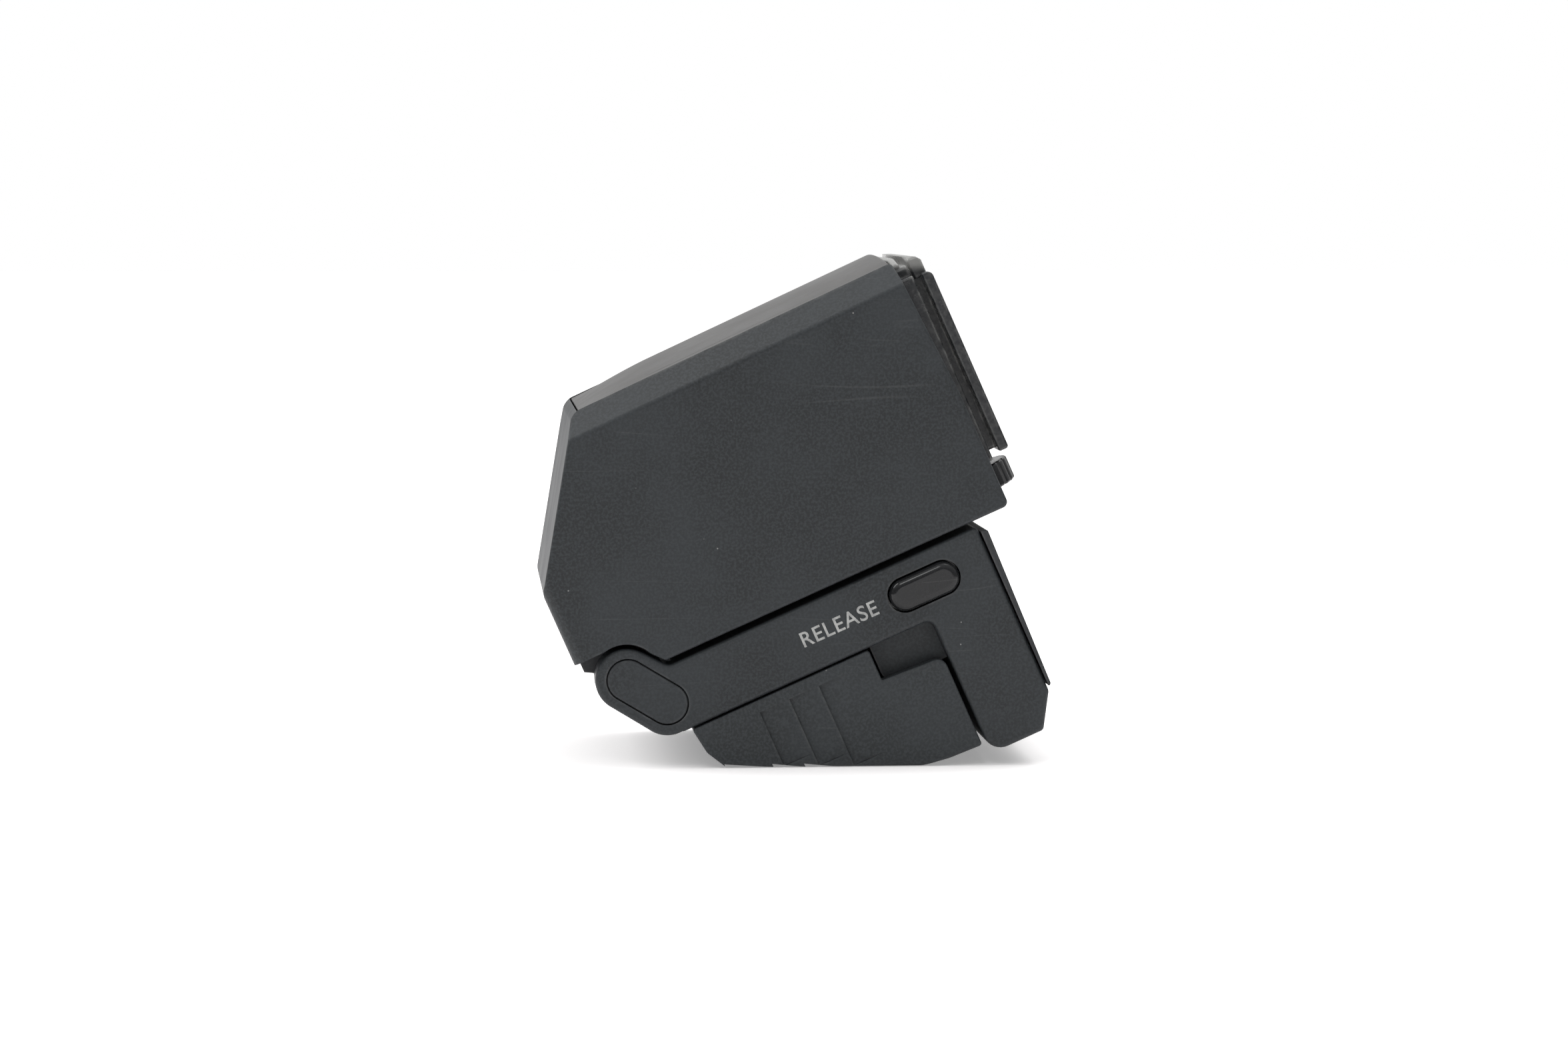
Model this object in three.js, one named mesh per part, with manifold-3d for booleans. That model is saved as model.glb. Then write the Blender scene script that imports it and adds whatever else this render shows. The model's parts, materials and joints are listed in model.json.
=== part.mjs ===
// Clip-on electronic viewfinder, folded, standing on the ribbed cover that protects its shoe foot.
// Millimetres. Every piece is drawn in the unit's own axes: x runs back towards the eyepiece, y across
// and z up, with the zero on the hinge axis. The last lines turn the unit to its resting tilt and set
// it on z = 0.
import * as THREE from "three";
import { mergeVertices } from "three/addons/utils/BufferGeometryUtils.js";
import Module from "manifold-3d";

const wasm = await Module();
wasm.setup();

// Driving dimensions
const HALF_WIDTH = 15.2;          // outer side faces
const WALL = 1.35;                // moulded shell walls
const SEAM = 0.15;                // gap at a seam between two seated pieces
const REST_TILT = 24;             // degrees, slope of the cover's rest facet
const CURVE_STEPS = 6;            // straight steps in each rounded corner
const ROUND_STEPS = 32;           // sides of a turned piece

// Hinge
const KNUCKLE_RADIUS = 3.0;
const KNUCKLE_INNER_Y = 11.6;     // inner face of each knuckle
const LOW_LOBE = { x: 2.6, z: -3.75 };
const PIN_RADIUS = 1.2;
const PIN_CLEARANCE = 0.06;
const CAP = { a: { x: 0.1, z: -0.05 }, b: { x: 2.62, z: -3.65 } };
const CAP_RADIUS = 1.95;
const CAP_DEPTH = 0.7;
const BLOCK_HALF = 10.9;

// Arm and leg of the base
const ARM_TOP = -0.4;
const ARM_BOTTOM = -6.8;
const LEG_FRONT = 29.05;
const LEG_BOTTOM = -21.07;
const BASE_REAR = 36.75;
const REAR_COVER_THICK = 0.55;

// Head
const HEAD_FRONT = -3.95;
const HEAD_REAR = 40.3;
const HEAD_FLOOR = 0.2;
const HEAD_TOP_FRONT = 25.35;     // top face at the front end
const HEAD_TOP_REAR = 25.95;      // top face at the rear end
const TOP_FRONT_X = 5.7;
const SHOULDER = 2.2;             // width and height of the chamfer along each top edge
const CROWN = 0.4;                // rise of the top cover at its middle
const AXIS_Z = 14.4;              // optical axis
const TUBE_RADIUS = 9.4;

// Shoe foot and connector
const FOOT = { x0: 5.6, x1: 21.5, half: 9.3, neckHalf: 6.25, top: -8.3, bottom: -10.3 };
const BLOCK_CORNER = { x0: 22.6, bottom: -11.0, half: 12.9 };
const PLUG = { x0: 25.2, half: 5.6, low: -17.3, high: -13.9 };

// Release button, lock pin and the screws of the foot
const BUTTON = { a: { x: 27.68, z: -3.53 }, b: { x: 31.62, z: -3.53 }, r: 1.58, proud: 0.75 };
const LOCK = { x: 8.6, r: 1.1 };
const SCREW_X = [11.6, 18.8];
const SCREW_Y = 4.2;

// Ribbed shoe cover
const COVER_SKIN = 1.5;
const REST_LINE = { x: 12.2, z: -14.8 };   // a point on the rest facet, seen from the side
const RIB_TIPS = [9.4, 12.2, 15.0];
const RIB_STEP = 0.22;

// Top cover, case screws and eyepiece frame of the head
const COVER_HALF = HALF_WIDTH - SHOULDER - 0.2;
const COVER_THICK = 1.1;
const CASE_SCREWS = [[7.5, -11.4], [7.5, 11.4], [30.5, -11.4], [36.2, 11.4]];
const NECK_END = 41.7;
const RAIL_FACE = 42.7;

// Diopter wheel
const WHEEL = { x: 38.25, y: -9.0, r: 4.2, low: 1.75 };
const PINION_RADIUS = 1.9;

// ---------------------------------------------------------------- geometry helpers

function solid(geometry) {
  const bare = geometry.index ? geometry.clone() : geometry;
  bare.deleteAttribute("normal");
  bare.deleteAttribute("uv");
  const merged = mergeVertices(bare, 1e-4);
  const vertProperties = new Float32Array(merged.attributes.position.array);
  const triVerts = new Uint32Array(merged.index.array);
  return new wasm.Manifold(new wasm.Mesh({ numProp: 3, vertProperties, triVerts }));
}

function geometryOf(manifold) {
  const mesh = manifold.getMesh();
  const geometry = new THREE.BufferGeometry();
  geometry.setAttribute("position", new THREE.BufferAttribute(mesh.vertProperties, 3));
  geometry.setIndex(new THREE.BufferAttribute(mesh.triVerts, 1));
  return geometry;
}

// A closed outline from corners [x, z, radius]; each corner with a radius becomes an arc.
function outline(corners) {
  const shape = new THREE.Shape();
  corners.forEach(([x, z, radius = 0], index) => {
    const corner = new THREE.Vector2(x, z);
    const before = corners[(index + corners.length - 1) % corners.length];
    const after = corners[(index + 1) % corners.length];
    const back = new THREE.Vector2(before[0], before[1]).sub(corner).normalize();
    const ahead = new THREE.Vector2(after[0], after[1]).sub(corner).normalize();
    const half = Math.acos(THREE.MathUtils.clamp(back.dot(ahead), -1, 1)) / 2;
    const reach = radius / Math.tan(half);
    const start = corner.clone().addScaledVector(back, reach);
    const end = corner.clone().addScaledVector(ahead, reach);
    if (index === 0) shape.moveTo(start.x, start.y);
    else shape.lineTo(start.x, start.y);
    if (radius > 0) {
      const middle = back.clone().add(ahead).normalize();
      const centre = corner.clone().addScaledVector(middle, radius / Math.sin(half));
      const from = Math.atan2(start.y - centre.y, start.x - centre.x);
      const to = Math.atan2(end.y - centre.y, end.x - centre.x);
      const clockwise = back.x * ahead.y - back.y * ahead.x > 0;
      shape.absarc(centre.x, centre.y, radius, from, to, clockwise);
    }
  });
  shape.closePath();
  return shape;
}

// A stadium between two centres.
function pill(a, b, radius) {
  const lean = Math.atan2(b.z - a.z, b.x - a.x);
  const shape = new THREE.Shape();
  shape.absarc(b.x, b.z, radius, lean - Math.PI / 2, lean + Math.PI / 2, false);
  shape.absarc(a.x, a.z, radius, lean + Math.PI / 2, lean + Math.PI * 1.5, false);
  shape.closePath();
  return shape;
}

// Extrudes a side-view outline across the unit from y0 to y1.
function across(shape, y0, y1, curveSegments = CURVE_STEPS) {
  const geometry = new THREE.ExtrudeGeometry(shape, {
    depth: y1 - y0, bevelEnabled: false, curveSegments,
  });
  geometry.rotateX(Math.PI / 2);
  geometry.translate(0, y1, 0);
  return solid(geometry);
}

// Extrudes a rear-view outline, drawn in y and z, along the unit from x0 to x1.
function along(shape, x0, x1, curveSegments = CURVE_STEPS) {
  const geometry = new THREE.ExtrudeGeometry(shape, {
    depth: x1 - x0, bevelEnabled: false, curveSegments,
  });
  geometry.rotateX(Math.PI / 2);
  geometry.rotateZ(Math.PI / 2);
  geometry.translate(x0, 0, 0);
  return solid(geometry);
}

// Extrudes a plan-view outline, drawn in x and y, from z0 up to z1.
function upward(shape, z0, z1, curveSegments = CURVE_STEPS) {
  const geometry = new THREE.ExtrudeGeometry(shape, {
    depth: z1 - z0, bevelEnabled: false, curveSegments,
  });
  geometry.translate(0, 0, z0);
  return solid(geometry);
}

function block(x0, x1, y0, y1, z0, z1) {
  const geometry = new THREE.BoxGeometry(x1 - x0, y1 - y0, z1 - z0);
  geometry.translate((x0 + x1) / 2, (y0 + y1) / 2, (z0 + z1) / 2);
  return solid(geometry);
}

// A turned piece from [radius, height] points, about z, closed on its axis or on itself.
function turned(profile, steps = ROUND_STEPS) {
  const points = profile.map(([r, h]) => new THREE.Vector2(r, h));
  const geometry = new THREE.LatheGeometry(points, steps);
  geometry.rotateX(Math.PI / 2);
  const made = solid(geometry);
  return made.volume() < 0 ? flipped(made) : made;
}

function flipped(manifold) {
  const mesh = manifold.getMesh();
  const turnedOver = mesh.triVerts.map((_, i, all) => all[i - (i % 3) + [0, 2, 1][i % 3]]);
  return new wasm.Manifold(new wasm.Mesh({
    numProp: 3, vertProperties: mesh.vertProperties, triVerts: turnedOver,
  }));
}

// A rod along y, x or z about a point.
function rod(axis, radius, from, to, at, steps = ROUND_STEPS) {
  const geometry = new THREE.CylinderGeometry(radius, radius, to - from, steps);
  geometry.translate(0, (from + to) / 2, 0);
  if (axis === "x") geometry.rotateZ(-Math.PI / 2);
  if (axis === "z") geometry.rotateX(Math.PI / 2);
  geometry.translate(at.x ?? 0, at.y ?? 0, at.z ?? 0);
  return solid(geometry);
}

function mirrored(y, sign) {
  return sign < 0 ? -y : y;
}

// Two heights across the unit on one side, low value first.
function span(a, b, sign) {
  return [Math.min(mirrored(a, sign), mirrored(b, sign)), Math.max(mirrored(a, sign), mirrored(b, sign))];
}

// ---------------------------------------------------------------- scene helpers

const unit = new THREE.Group();

function finish(colour, roughness, metalness = 0) {
  return new THREE.MeshStandardMaterial({ color: colour, roughness, metalness });
}

const GRAINED_BLACK = finish(0x3c3f41, 0.62);
const SATIN_BLACK = finish(0x2c2d2f, 0.4);
const GLOSS_BLACK = finish(0x141517, 0.15);
const STEEL = finish(0xb8bcc0, 0.3, 1);
const BRASS = finish(0xd6b263, 0.3, 1);
const GLASS = finish(0xdfe8ea, 0.05);
const BOARD = finish(0x1d5a37, 0.55);
const FLEX = finish(0xb5722a, 0.5);
const DIFFUSER = finish(0xe9e9e4, 0.6);

function add(name, shape, material) {
  const mesh = new THREE.Mesh(geometryOf(shape), material.clone());
  mesh.name = name;
  unit.add(mesh);
}

// ---------------------------------------------------------------- base: arm, leg and knuckles

function knuckleOutline(grow = 0) {
  return pill({ x: 0, z: 0 }, { x: LOW_LOBE.x, z: LOW_LOBE.z }, KNUCKLE_RADIUS + grow);
}

function baseHousing() {
  const frame = outline([
    [BASE_REAR - SEAM, ARM_TOP, 0.35], [4.2, ARM_TOP, 0], [2.2, 2.1, 0], [LOW_LOBE.x, LOW_LOBE.z, 0],
    [LOW_LOBE.x, ARM_BOTTOM, 0], [LEG_FRONT, ARM_BOTTOM, 0], [LEG_FRONT, LEG_BOTTOM, 1.8],
    [34.6, LEG_BOTTOM, 0.3], [BASE_REAR - SEAM, -17.8, 0.4],
  ]);
  const clearFront = block(-6, 4.6, -KNUCKLE_INNER_Y, KNUCKLE_INNER_Y, -9, 5);
  const arm = outline([
    [37, ARM_TOP - WALL, 0], [4.6 + WALL, ARM_TOP - WALL, 0], [4.6 + WALL, ARM_BOTTOM + WALL, 0],
    [LEG_FRONT + WALL, ARM_BOTTOM + WALL, 0], [LEG_FRONT + WALL, LEG_BOTTOM + WALL, 0.5],
    [33.9, LEG_BOTTOM + WALL, 0], [35.2, -17.6, 0], [37, -17.6, 0],
  ]);
  const inner = HALF_WIDTH - WALL;
  let shell = across(frame, -HALF_WIDTH, HALF_WIDTH).add(across(knuckleOutline(), -HALF_WIDTH, HALF_WIDTH));
  const corner = outline([
    [BLOCK_CORNER.x0, ARM_BOTTOM + 0.5, 0], [BLOCK_CORNER.x0, BLOCK_CORNER.bottom, 1.2],
    [LEG_FRONT + 0.5, BLOCK_CORNER.bottom, 0], [LEG_FRONT + 0.5, ARM_BOTTOM + 0.5, 0],
  ]);
  shell = shell.add(across(corner, -BLOCK_CORNER.half, BLOCK_CORNER.half));
  shell = shell.subtract(clearFront).subtract(across(arm, -inner, inner));
  const flexSlot = block(4, 6.5, -5.4, 5.4, -3.3, -2.0);
  const plugHole = block(28, 31.5, -PLUG.half - 0.2, PLUG.half + 0.2, PLUG.low - 0.2, PLUG.high + 0.2);
  const lockHole = rod("z", 1.25, -7.5, -5, { x: LOCK.x }, 20);
  const button = across(pill(BUTTON.a, BUTTON.b, BUTTON.r + 0.12), -16, -13, 8);
  shell = shell.subtract(flexSlot).subtract(plugHole).subtract(lockHole).subtract(button);
  for (const sign of [-1, 1]) {
    const [low, high] = span(HALF_WIDTH - CAP_DEPTH, HALF_WIDTH + 1, sign);
    const recess = pill(CAP.a, CAP.b, CAP_RADIUS + SEAM);
    shell = shell.subtract(across(recess, low, high, 8));
    for (const x of SCREW_X) {
      shell = shell.subtract(rod("z", 0.75, -7.6, -5.2, { x, y: sign * SCREW_Y }, 12));
    }
  }
  for (const x of [15.5, 25.5]) {
    for (const y of [-5.6, 9.8]) {
      shell = shell.add(rod("z", 0.9, ARM_BOTTOM + WALL - 0.2, -3.4 - SEAM, { x, y }, 12));
    }
  }
  const bore = rod("y", PIN_RADIUS + PIN_CLEARANCE, -14.4, 14.4, {}, 24);
  return shell.subtract(bore);
}

add("base_housing", baseHousing(), GRAINED_BLACK);

const rearCover = outline([
  [BASE_REAR, -1.0, 0], [BASE_REAR, -17.3, 0], [BASE_REAR + REAR_COVER_THICK - 0.25, -17.3, 0.2],
  [BASE_REAR + REAR_COVER_THICK + 0.15, -1.0, 0.3],
]);
const rearPlug = block(35.6, BASE_REAR + 0.1, -13.4, 13.4, -16.9, -2.2);
const rearHollow = block(35.0, 36.4, -12.2, 12.2, -15.8, -3.3);
add("base_rear_cover", across(rearCover, -HALF_WIDTH, HALF_WIDTH).add(rearPlug).subtract(rearHollow),
  SATIN_BLACK);

for (const [side, sign] of [["left", -1], ["right", 1]]) {
  const [low, high] = span(HALF_WIDTH - CAP_DEPTH + SEAM, HALF_WIDTH + 0.05, sign);
  add(`hinge_cap_${side}`, across(pill(CAP.a, CAP.b, CAP_RADIUS), low, high, 8), GRAINED_BLACK);
  const [inside, outside] = span(BLOCK_HALF + 0.15, KNUCKLE_INNER_Y - 0.15, sign);
  const washer = rod("y", 2.5, inside, outside, {}, 24).subtract(rod("y", 1.4, -20, 20, {}, 24));
  add(`friction_washer_${side}`, washer, STEEL);
}
add("hinge_pin", rod("y", PIN_RADIUS, -14.3, 14.3, {}, 24), STEEL);

// ---------------------------------------------------------------- shoe foot and its screws

function shoeFoot() {
  const plate = block(FOOT.x0, FOOT.x1, -FOOT.half, FOOT.half, FOOT.bottom, FOOT.top);
  const neck = block(FOOT.x0 + 0.8, FOOT.x1, -FOOT.neckHalf, FOOT.neckHalf, FOOT.top - 0.5, ARM_BOTTOM - SEAM);
  let foot = plate.add(neck);
  const lead = outline([[5, -10.4], [6.3, -10.4], [5, -9.5]]);
  foot = foot.subtract(across(lead, -10, 10));
  foot = foot.subtract(rod("z", LOCK.r + 0.12, -12, -6, { x: LOCK.x }, 20));
  for (const sign of [-1, 1]) {
    for (const x of SCREW_X) {
      foot = foot.subtract(rod("z", 0.75, -12, -6, { x, y: sign * SCREW_Y }, 12));
      foot = foot.subtract(rod("z", 1.45, -10.5, -9.3, { x, y: sign * SCREW_Y }, 16));
    }
  }
  return foot;
}

function screw(head, shank, drive) {
  const body = turned([
    [0, 0], [head.r, 0], [head.r, head.h * 0.6], [head.r * 0.8, head.h], [0, head.h],
  ], 16);
  const stem = turned([[0, -shank.h], [shank.r, -shank.h], [shank.r, 0.2], [0, 0.2]], 12);
  const slotLong = block(-drive, drive, -0.18, 0.18, head.h - 0.35, head.h + 1);
  const slotWide = block(-0.18, 0.18, -drive, drive, head.h - 0.35, head.h + 1);
  return body.add(stem).subtract(slotLong).subtract(slotWide);
}

add("shoe_foot", shoeFoot(), STEEL);
let footScrew = 1;
for (const sign of [-1, 1]) {
  for (const x of SCREW_X) {
    const made = screw({ r: 1.3, h: 0.7 }, { r: 0.62, h: 3.6 }, 0.7);
    add(`foot_screw_${footScrew}`, made.rotate([180, 0, 0]).translate([x, sign * SCREW_Y, -9.45]), STEEL);
    footScrew += 1;
  }
}

// ---------------------------------------------------------------- release button and lock pin

const buttonFace = -HALF_WIDTH - BUTTON.proud;
const buttonCore = across(pill(BUTTON.a, BUTTON.b, BUTTON.r), buttonFace + 0.45, -13.2, 8);
const buttonTop = across(pill(BUTTON.a, BUTTON.b, BUTTON.r - 0.35), buttonFace, -14, 8);
const flangeEnds = [{ x: BUTTON.a.x - 0.5, z: BUTTON.a.z }, { x: BUTTON.b.x + 0.5, z: BUTTON.b.z }];
const buttonFlange = across(pill(flangeEnds[0], flangeEnds[1], BUTTON.r), -13.5, -12.9, 8);
const buttonStem = rod("y", 0.8, -13.2, -10.6, { x: 29.65, z: -3.53 }, 16);
const wedge = upward(outline([[25.7, -13.1], [27.3, -13.1], [27.3, -9.9], [25.7, -11.5]]), -5.05, -4.45);
add("release_button", buttonCore.add(buttonTop).add(buttonFlange).add(buttonStem).add(wedge),
  GLOSS_BLACK);

// The bar that the button's wedge drives forward, with a ramp on each side of the lock pin.
function releaseBar() {
  const rail = outline([[12.0, -11.0], [25.95, -11.0], [27.55, -9.4], [12.0, -9.4]]);
  const bridge = block(12.0, 13.2, -11.0, 1.9, -5.2, -4.5);
  const ramp = outline([[10.65, -5.3], [12.9, -5.3], [12.9, -3.65], [12.0, -3.65], [10.65, -5.0]]);
  let bar = upward(rail, -5.2, -4.5).add(bridge);
  for (const sign of [-1, 1]) {
    const [low, high] = span(1.3, 2.1, sign);
    bar = bar.add(across(ramp, low, high));
  }
  return bar;
}

add("release_bar", releaseBar(), STEEL);

// A coil spring as one round wire swept on a helix.
function coil(radius, wire, turns, from, to, at) {
  const steps = turns * 12;
  const points = [];
  for (let i = 0; i <= steps; i += 1) {
    const angle = (i / 12) * Math.PI * 2;
    const height = from + ((to - from) * i) / steps;
    points.push(new THREE.Vector3(at.x + radius * Math.cos(angle), height, at.z + radius * Math.sin(angle)));
  }
  const path = new THREE.CatmullRomCurve3(points);
  const section = new THREE.Shape();
  section.absarc(0, 0, wire, 0, Math.PI * 2, false);
  const geometry = new THREE.ExtrudeGeometry(section, {
    steps, bevelEnabled: false, extrudePath: path, curveSegments: 3,
  });
  return solid(geometry);
}

const BUTTON_AXIS = { x: (BUTTON.a.x + BUTTON.b.x) / 2, z: BUTTON.a.z };
add("release_spring", coil(1.35, 0.18, 3, -12.5, -8.6, BUTTON_AXIS), STEEL);
const springPost = block(28.1, 31.2, -8.2, -7.2, -5.3, -2.0);
add("spring_post", springPost, GRAINED_BLACK);

const lockPin = rod("z", LOCK.r, -11.2, -4.6, { x: LOCK.x }, 20);
const lockFlange = rod("z", 1.9, -4.9, -4.2, { x: LOCK.x }, 20);
add("lock_pin", lockPin.add(lockFlange), STEEL);
const lockCoil = coil(1.4, 0.15, 2, -0.95, 0.75, { x: 0, z: 0 }).rotate([90, 0, 0]);
add("lock_spring", lockCoil.translate([LOCK.x, 0, -2.95]), STEEL);

// ---------------------------------------------------------------- connector in the leg

const plugOuter = block(PLUG.x0, 31.2, -PLUG.half, PLUG.half, PLUG.low, PLUG.high);
const plugInner = block(PLUG.x0 - 1, 30.6, -PLUG.half + 0.4, PLUG.half - 0.4, PLUG.low + 0.4, PLUG.high - 0.4);
add("connector_shell", plugOuter.subtract(plugInner), STEEL);
const tongue = block(PLUG.x0 + 0.6, 30.4, -4.6, 4.6, -16.2, -15.2);
add("connector_tongue", tongue, GLOSS_BLACK);
function contactComb() {
  let comb = block(29.6, 30.4, -4.3, 4.3, -15.05, -14.85);
  for (let i = 0; i < 10; i += 1) {
    const y = -3.96 + i * 0.88;
    comb = comb.add(block(26.2, 30, y - 0.24, y + 0.24, -15.05, -14.85));
  }
  return comb;
}
add("connector_contacts", contactComb(), BRASS);
add("connector_body", block(31.4, 33.4, -7.2, 7.2, -18.4, -12.6), SATIN_BLACK);
add("leg_board", block(33.6, 34.4, -11.6, 11.6, -17.2, -3.4), BOARD);
add("arm_board", block(11.2, 27.2, -6.8, 11.4, -3.4, -2.6), BOARD);
const flexEye = rod("z", 2.0, -3, -2, { x: LOCK.x }, 20);
add("arm_flex", block(5.0, 14.0, -4.6, 4.6, -2.45, -2.3).subtract(flexEye), FLEX);
add("arm_chip", block(15.0, 21.0, -3.0, 3.0, -4.5, -3.55), GLOSS_BLACK);

// ---------------------------------------------------------------- ribbed shoe cover

function restHeight(x) {
  return REST_LINE.z - Math.tan(THREE.MathUtils.degToRad(REST_TILT)) * (x - REST_LINE.x);
}

function coverOutline() {
  const corners = [
    [3.75, ARM_BOTTOM - SEAM, 0.2], [4.15, -9.6, 1], [5.15, restHeight(5.15) + RIB_STEP, 0.3],
  ];
  for (const tip of RIB_TIPS) {
    corners.push([tip, restHeight(tip), 0]);
    corners.push([tip + 0.08, restHeight(tip) + RIB_STEP, 0]);
  }
  corners.push([16.6, restHeight(16.6), 0]);
  corners.push([22.4, restHeight(22.4), 2.5]);
  corners.push([25.2, -19.75, 2]);
  corners.push([28.6, -19.9, 0.2]);
  corners.push([28.6, -10.5, 1.0]);
  corners.push([22.3, -10.15, 0.2]);
  corners.push([22.3, ARM_BOTTOM - SEAM, 0.2]);
  return outline(corners);
}

function shoeCover() {
  let cover = across(coverOutline(), -HALF_WIDTH, HALF_WIDTH, 4);
  const hollow = outline([
    [5.3, ARM_BOTTOM - 1.35, 0], [5.3, -10.5, 0], [22.4, restHeight(22.4) + 1.6, 0],
    [25.4, -18.2, 0], [30, -18.2, 0], [30, -8, 0], [22.5, ARM_BOTTOM - 1.35, 0],
  ]);
  cover = cover.subtract(across(hollow, -HALF_WIDTH + COVER_SKIN, HALF_WIDTH - COVER_SKIN));
  const throat = block(2, 24, -FOOT.neckHalf - 0.3, FOOT.neckHalf + 0.3, -8.4, -6);
  return cover.subtract(throat.subtract(block(0, 5.3, -20, 20, -9, -5)));
}

add("shoe_cover", shoeCover(), GRAINED_BLACK);

// ---------------------------------------------------------------- head housing and top cover

const TOP_SLOPE = Math.atan((HEAD_TOP_REAR - HEAD_TOP_FRONT) / (HEAD_REAR - TOP_FRONT_X));

function headOutline(inset = 0) {
  return outline([
    [HEAD_FRONT + inset, HEAD_FLOOR + inset, 0.4], [HEAD_REAR - inset, HEAD_FLOOR + inset, 0.6],
    [HEAD_REAR - inset, 12, 0], [39.45 - inset, HEAD_TOP_REAR - inset, 0],
    [TOP_FRONT_X + inset * 0.7, HEAD_TOP_FRONT - inset, 0.8], [HEAD_FRONT + inset, 10.7, 1.2],
  ]);
}

// The rear view of the head, drawn level and then laid along the sloping top.
function shoulderTool(inset) {
  const half = HALF_WIDTH - inset;
  const low = HEAD_TOP_FRONT - SHOULDER - inset * 0.4;
  const past = SHOULDER + 2;
  const shape = outline([
    [-half, -10], [half, -10], [half, low], [half - past, low + past], [-half + past, low + past],
    [-half, low],
  ]);
  return along(shape, -60, 60).translate([-TOP_FRONT_X, 0, -HEAD_TOP_FRONT])
    .rotate([0, -THREE.MathUtils.radToDeg(TOP_SLOPE), 0])
    .translate([TOP_FRONT_X, 0, HEAD_TOP_FRONT]);
}

function knuckleClearance(sign) {
  const [low, high] = span(BLOCK_HALF - 0.1, HALF_WIDTH + 1, sign);
  const corner = outline([
    [-6, -2], [-6, 3.25], [-0.9, 3.35], [2.2, 2.65], [3.6, 0.9], [4.6, -0.2], [4.6, -2],
  ]);
  return across(corner, low, high).add(rod("y", 3.45, low, high, {}, 48));
}

function headHousing() {
  let shell = across(headOutline(), -HALF_WIDTH, HALF_WIDTH).intersect(shoulderTool(0));
  const inner = HALF_WIDTH - WALL;
  shell = shell.subtract(across(headOutline(WALL), -inner, inner).intersect(shoulderTool(WALL)));
  const rearMouth = block(38, 42, -13.35, 13.35, 1.7, 24.2);
  const seat = block(TOP_FRONT_X + 0.5, 42, -COVER_HALF - SEAM, COVER_HALF + SEAM, -COVER_THICK - SEAM, 5);
  const light = block(TOP_FRONT_X + 1.6, 42, -COVER_HALF + 1, COVER_HALF - 1, -4, 5);
  const lid = seat.add(light).translate([-TOP_FRONT_X, 0, 0])
    .rotate([0, -THREE.MathUtils.radToDeg(TOP_SLOPE), 0])
    .translate([TOP_FRONT_X, 0, HEAD_TOP_FRONT]);
  shell = shell.subtract(rearMouth).subtract(lid);
  shell = shell.subtract(knuckleClearance(-1)).subtract(knuckleClearance(1));
  const blockRoom = outline([[-6, -1], [-6, 3.3], [-3.6, 3.3], [-3.6, 4.2], [3.4, 4.2], [3.4, -1]]);
  shell = shell.subtract(across(blockRoom, -BLOCK_HALF - 0.1, BLOCK_HALF + 0.1));
  for (const [x, y] of [[13.5, 11.6], [33.4, 11.6], [13.5, -2.8], [33.4, -2.8]]) {
    shell = shell.add(rod("z", 0.9, HEAD_FLOOR + WALL - 0.2, 2.6 - SEAM, { x, y }, 12));
  }
  for (const [x, y] of CASE_SCREWS) {
    shell = shell.subtract(rod("z", 1.25, -1, HEAD_FLOOR + 0.75, { x, y }, 16));
    shell = shell.subtract(rod("z", 0.6, -1, 3, { x, y }, 12));
  }
  return shell.subtract(block(37.5, 42, -13.25, -4.5, 1.6, 4.45));
}

add("head_housing", headHousing(), GRAINED_BLACK);

function topCover() {
  const rise = CROWN;
  const sagRadius = (COVER_HALF * COVER_HALF + rise * rise) / (2 * rise);
  const reach = Math.asin(COVER_HALF / sagRadius);
  const section = new THREE.Shape();
  section.moveTo(-COVER_HALF, -COVER_THICK);
  section.lineTo(COVER_HALF, -COVER_THICK);
  section.absarc(0, rise - sagRadius, sagRadius, Math.PI / 2 - reach, Math.PI / 2 + reach, false);
  section.closePath();
  const slab = along(section, 0.65, 33.75, 10).rotate([0, -THREE.MathUtils.radToDeg(TOP_SLOPE), 0])
    .translate([TOP_FRONT_X, 0, HEAD_TOP_FRONT]);
  const side = outline([
    [5.5, 20], [39.25, 20], [39.25, 30], [8.5, 30], [8.5, HEAD_TOP_FRONT + 0.65], [6.2, HEAD_TOP_FRONT + 0.05],
  ]);
  return slab.intersect(across(side, -14, 14));
}

add("head_top_cover", topCover(), SATIN_BLACK);

// ---------------------------------------------------------------- hinge block of the head

function hingeBlock() {
  const profile = outline([[-3.45, 1.9, 0], [0, 0, 0], [2.85, 0, 0], [2.85, 4.0, 0], [-3.45, 4.0, 0]]);
  let made = across(profile, -BLOCK_HALF, BLOCK_HALF).add(rod("y", 2.85, -BLOCK_HALF, BLOCK_HALF, {}, 40));
  const tab = block(-2.3, 2.8, -BLOCK_HALF, BLOCK_HALF, 3.4, 5.2);
  made = made.add(tab);
  made = made.subtract(block(-1.9, 1.9, -4.8, 4.8, 1.9, 6));
  return made.subtract(rod("y", PIN_RADIUS + PIN_CLEARANCE, -20, 20, {}, 24));
}

add("hinge_block", hingeBlock(), SATIN_BLACK);
for (const [side, sign] of [["left", -1], ["right", 1]]) {
  const made = screw({ r: 1.1, h: 0.7 }, { r: 0.5, h: 0.05 }, 0.6).translate([0.2, sign * 8.2, 5.4]);
  add(`hinge_block_screw_${side}`, made, STEEL);
}
const ribbon = outline([
  [0.2, 2.2], [0.35, 2.2], [0.35, 6.05], [4.45, 6.05], [4.45, 3.45], [14, 3.45], [14, 3.6], [4.6, 3.6],
  [4.6, 6.2], [0.2, 6.2],
]);
add("head_flex", across(ribbon, -3.4, 3.4), FLEX);

// ---------------------------------------------------------------- display, optics and boards

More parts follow.
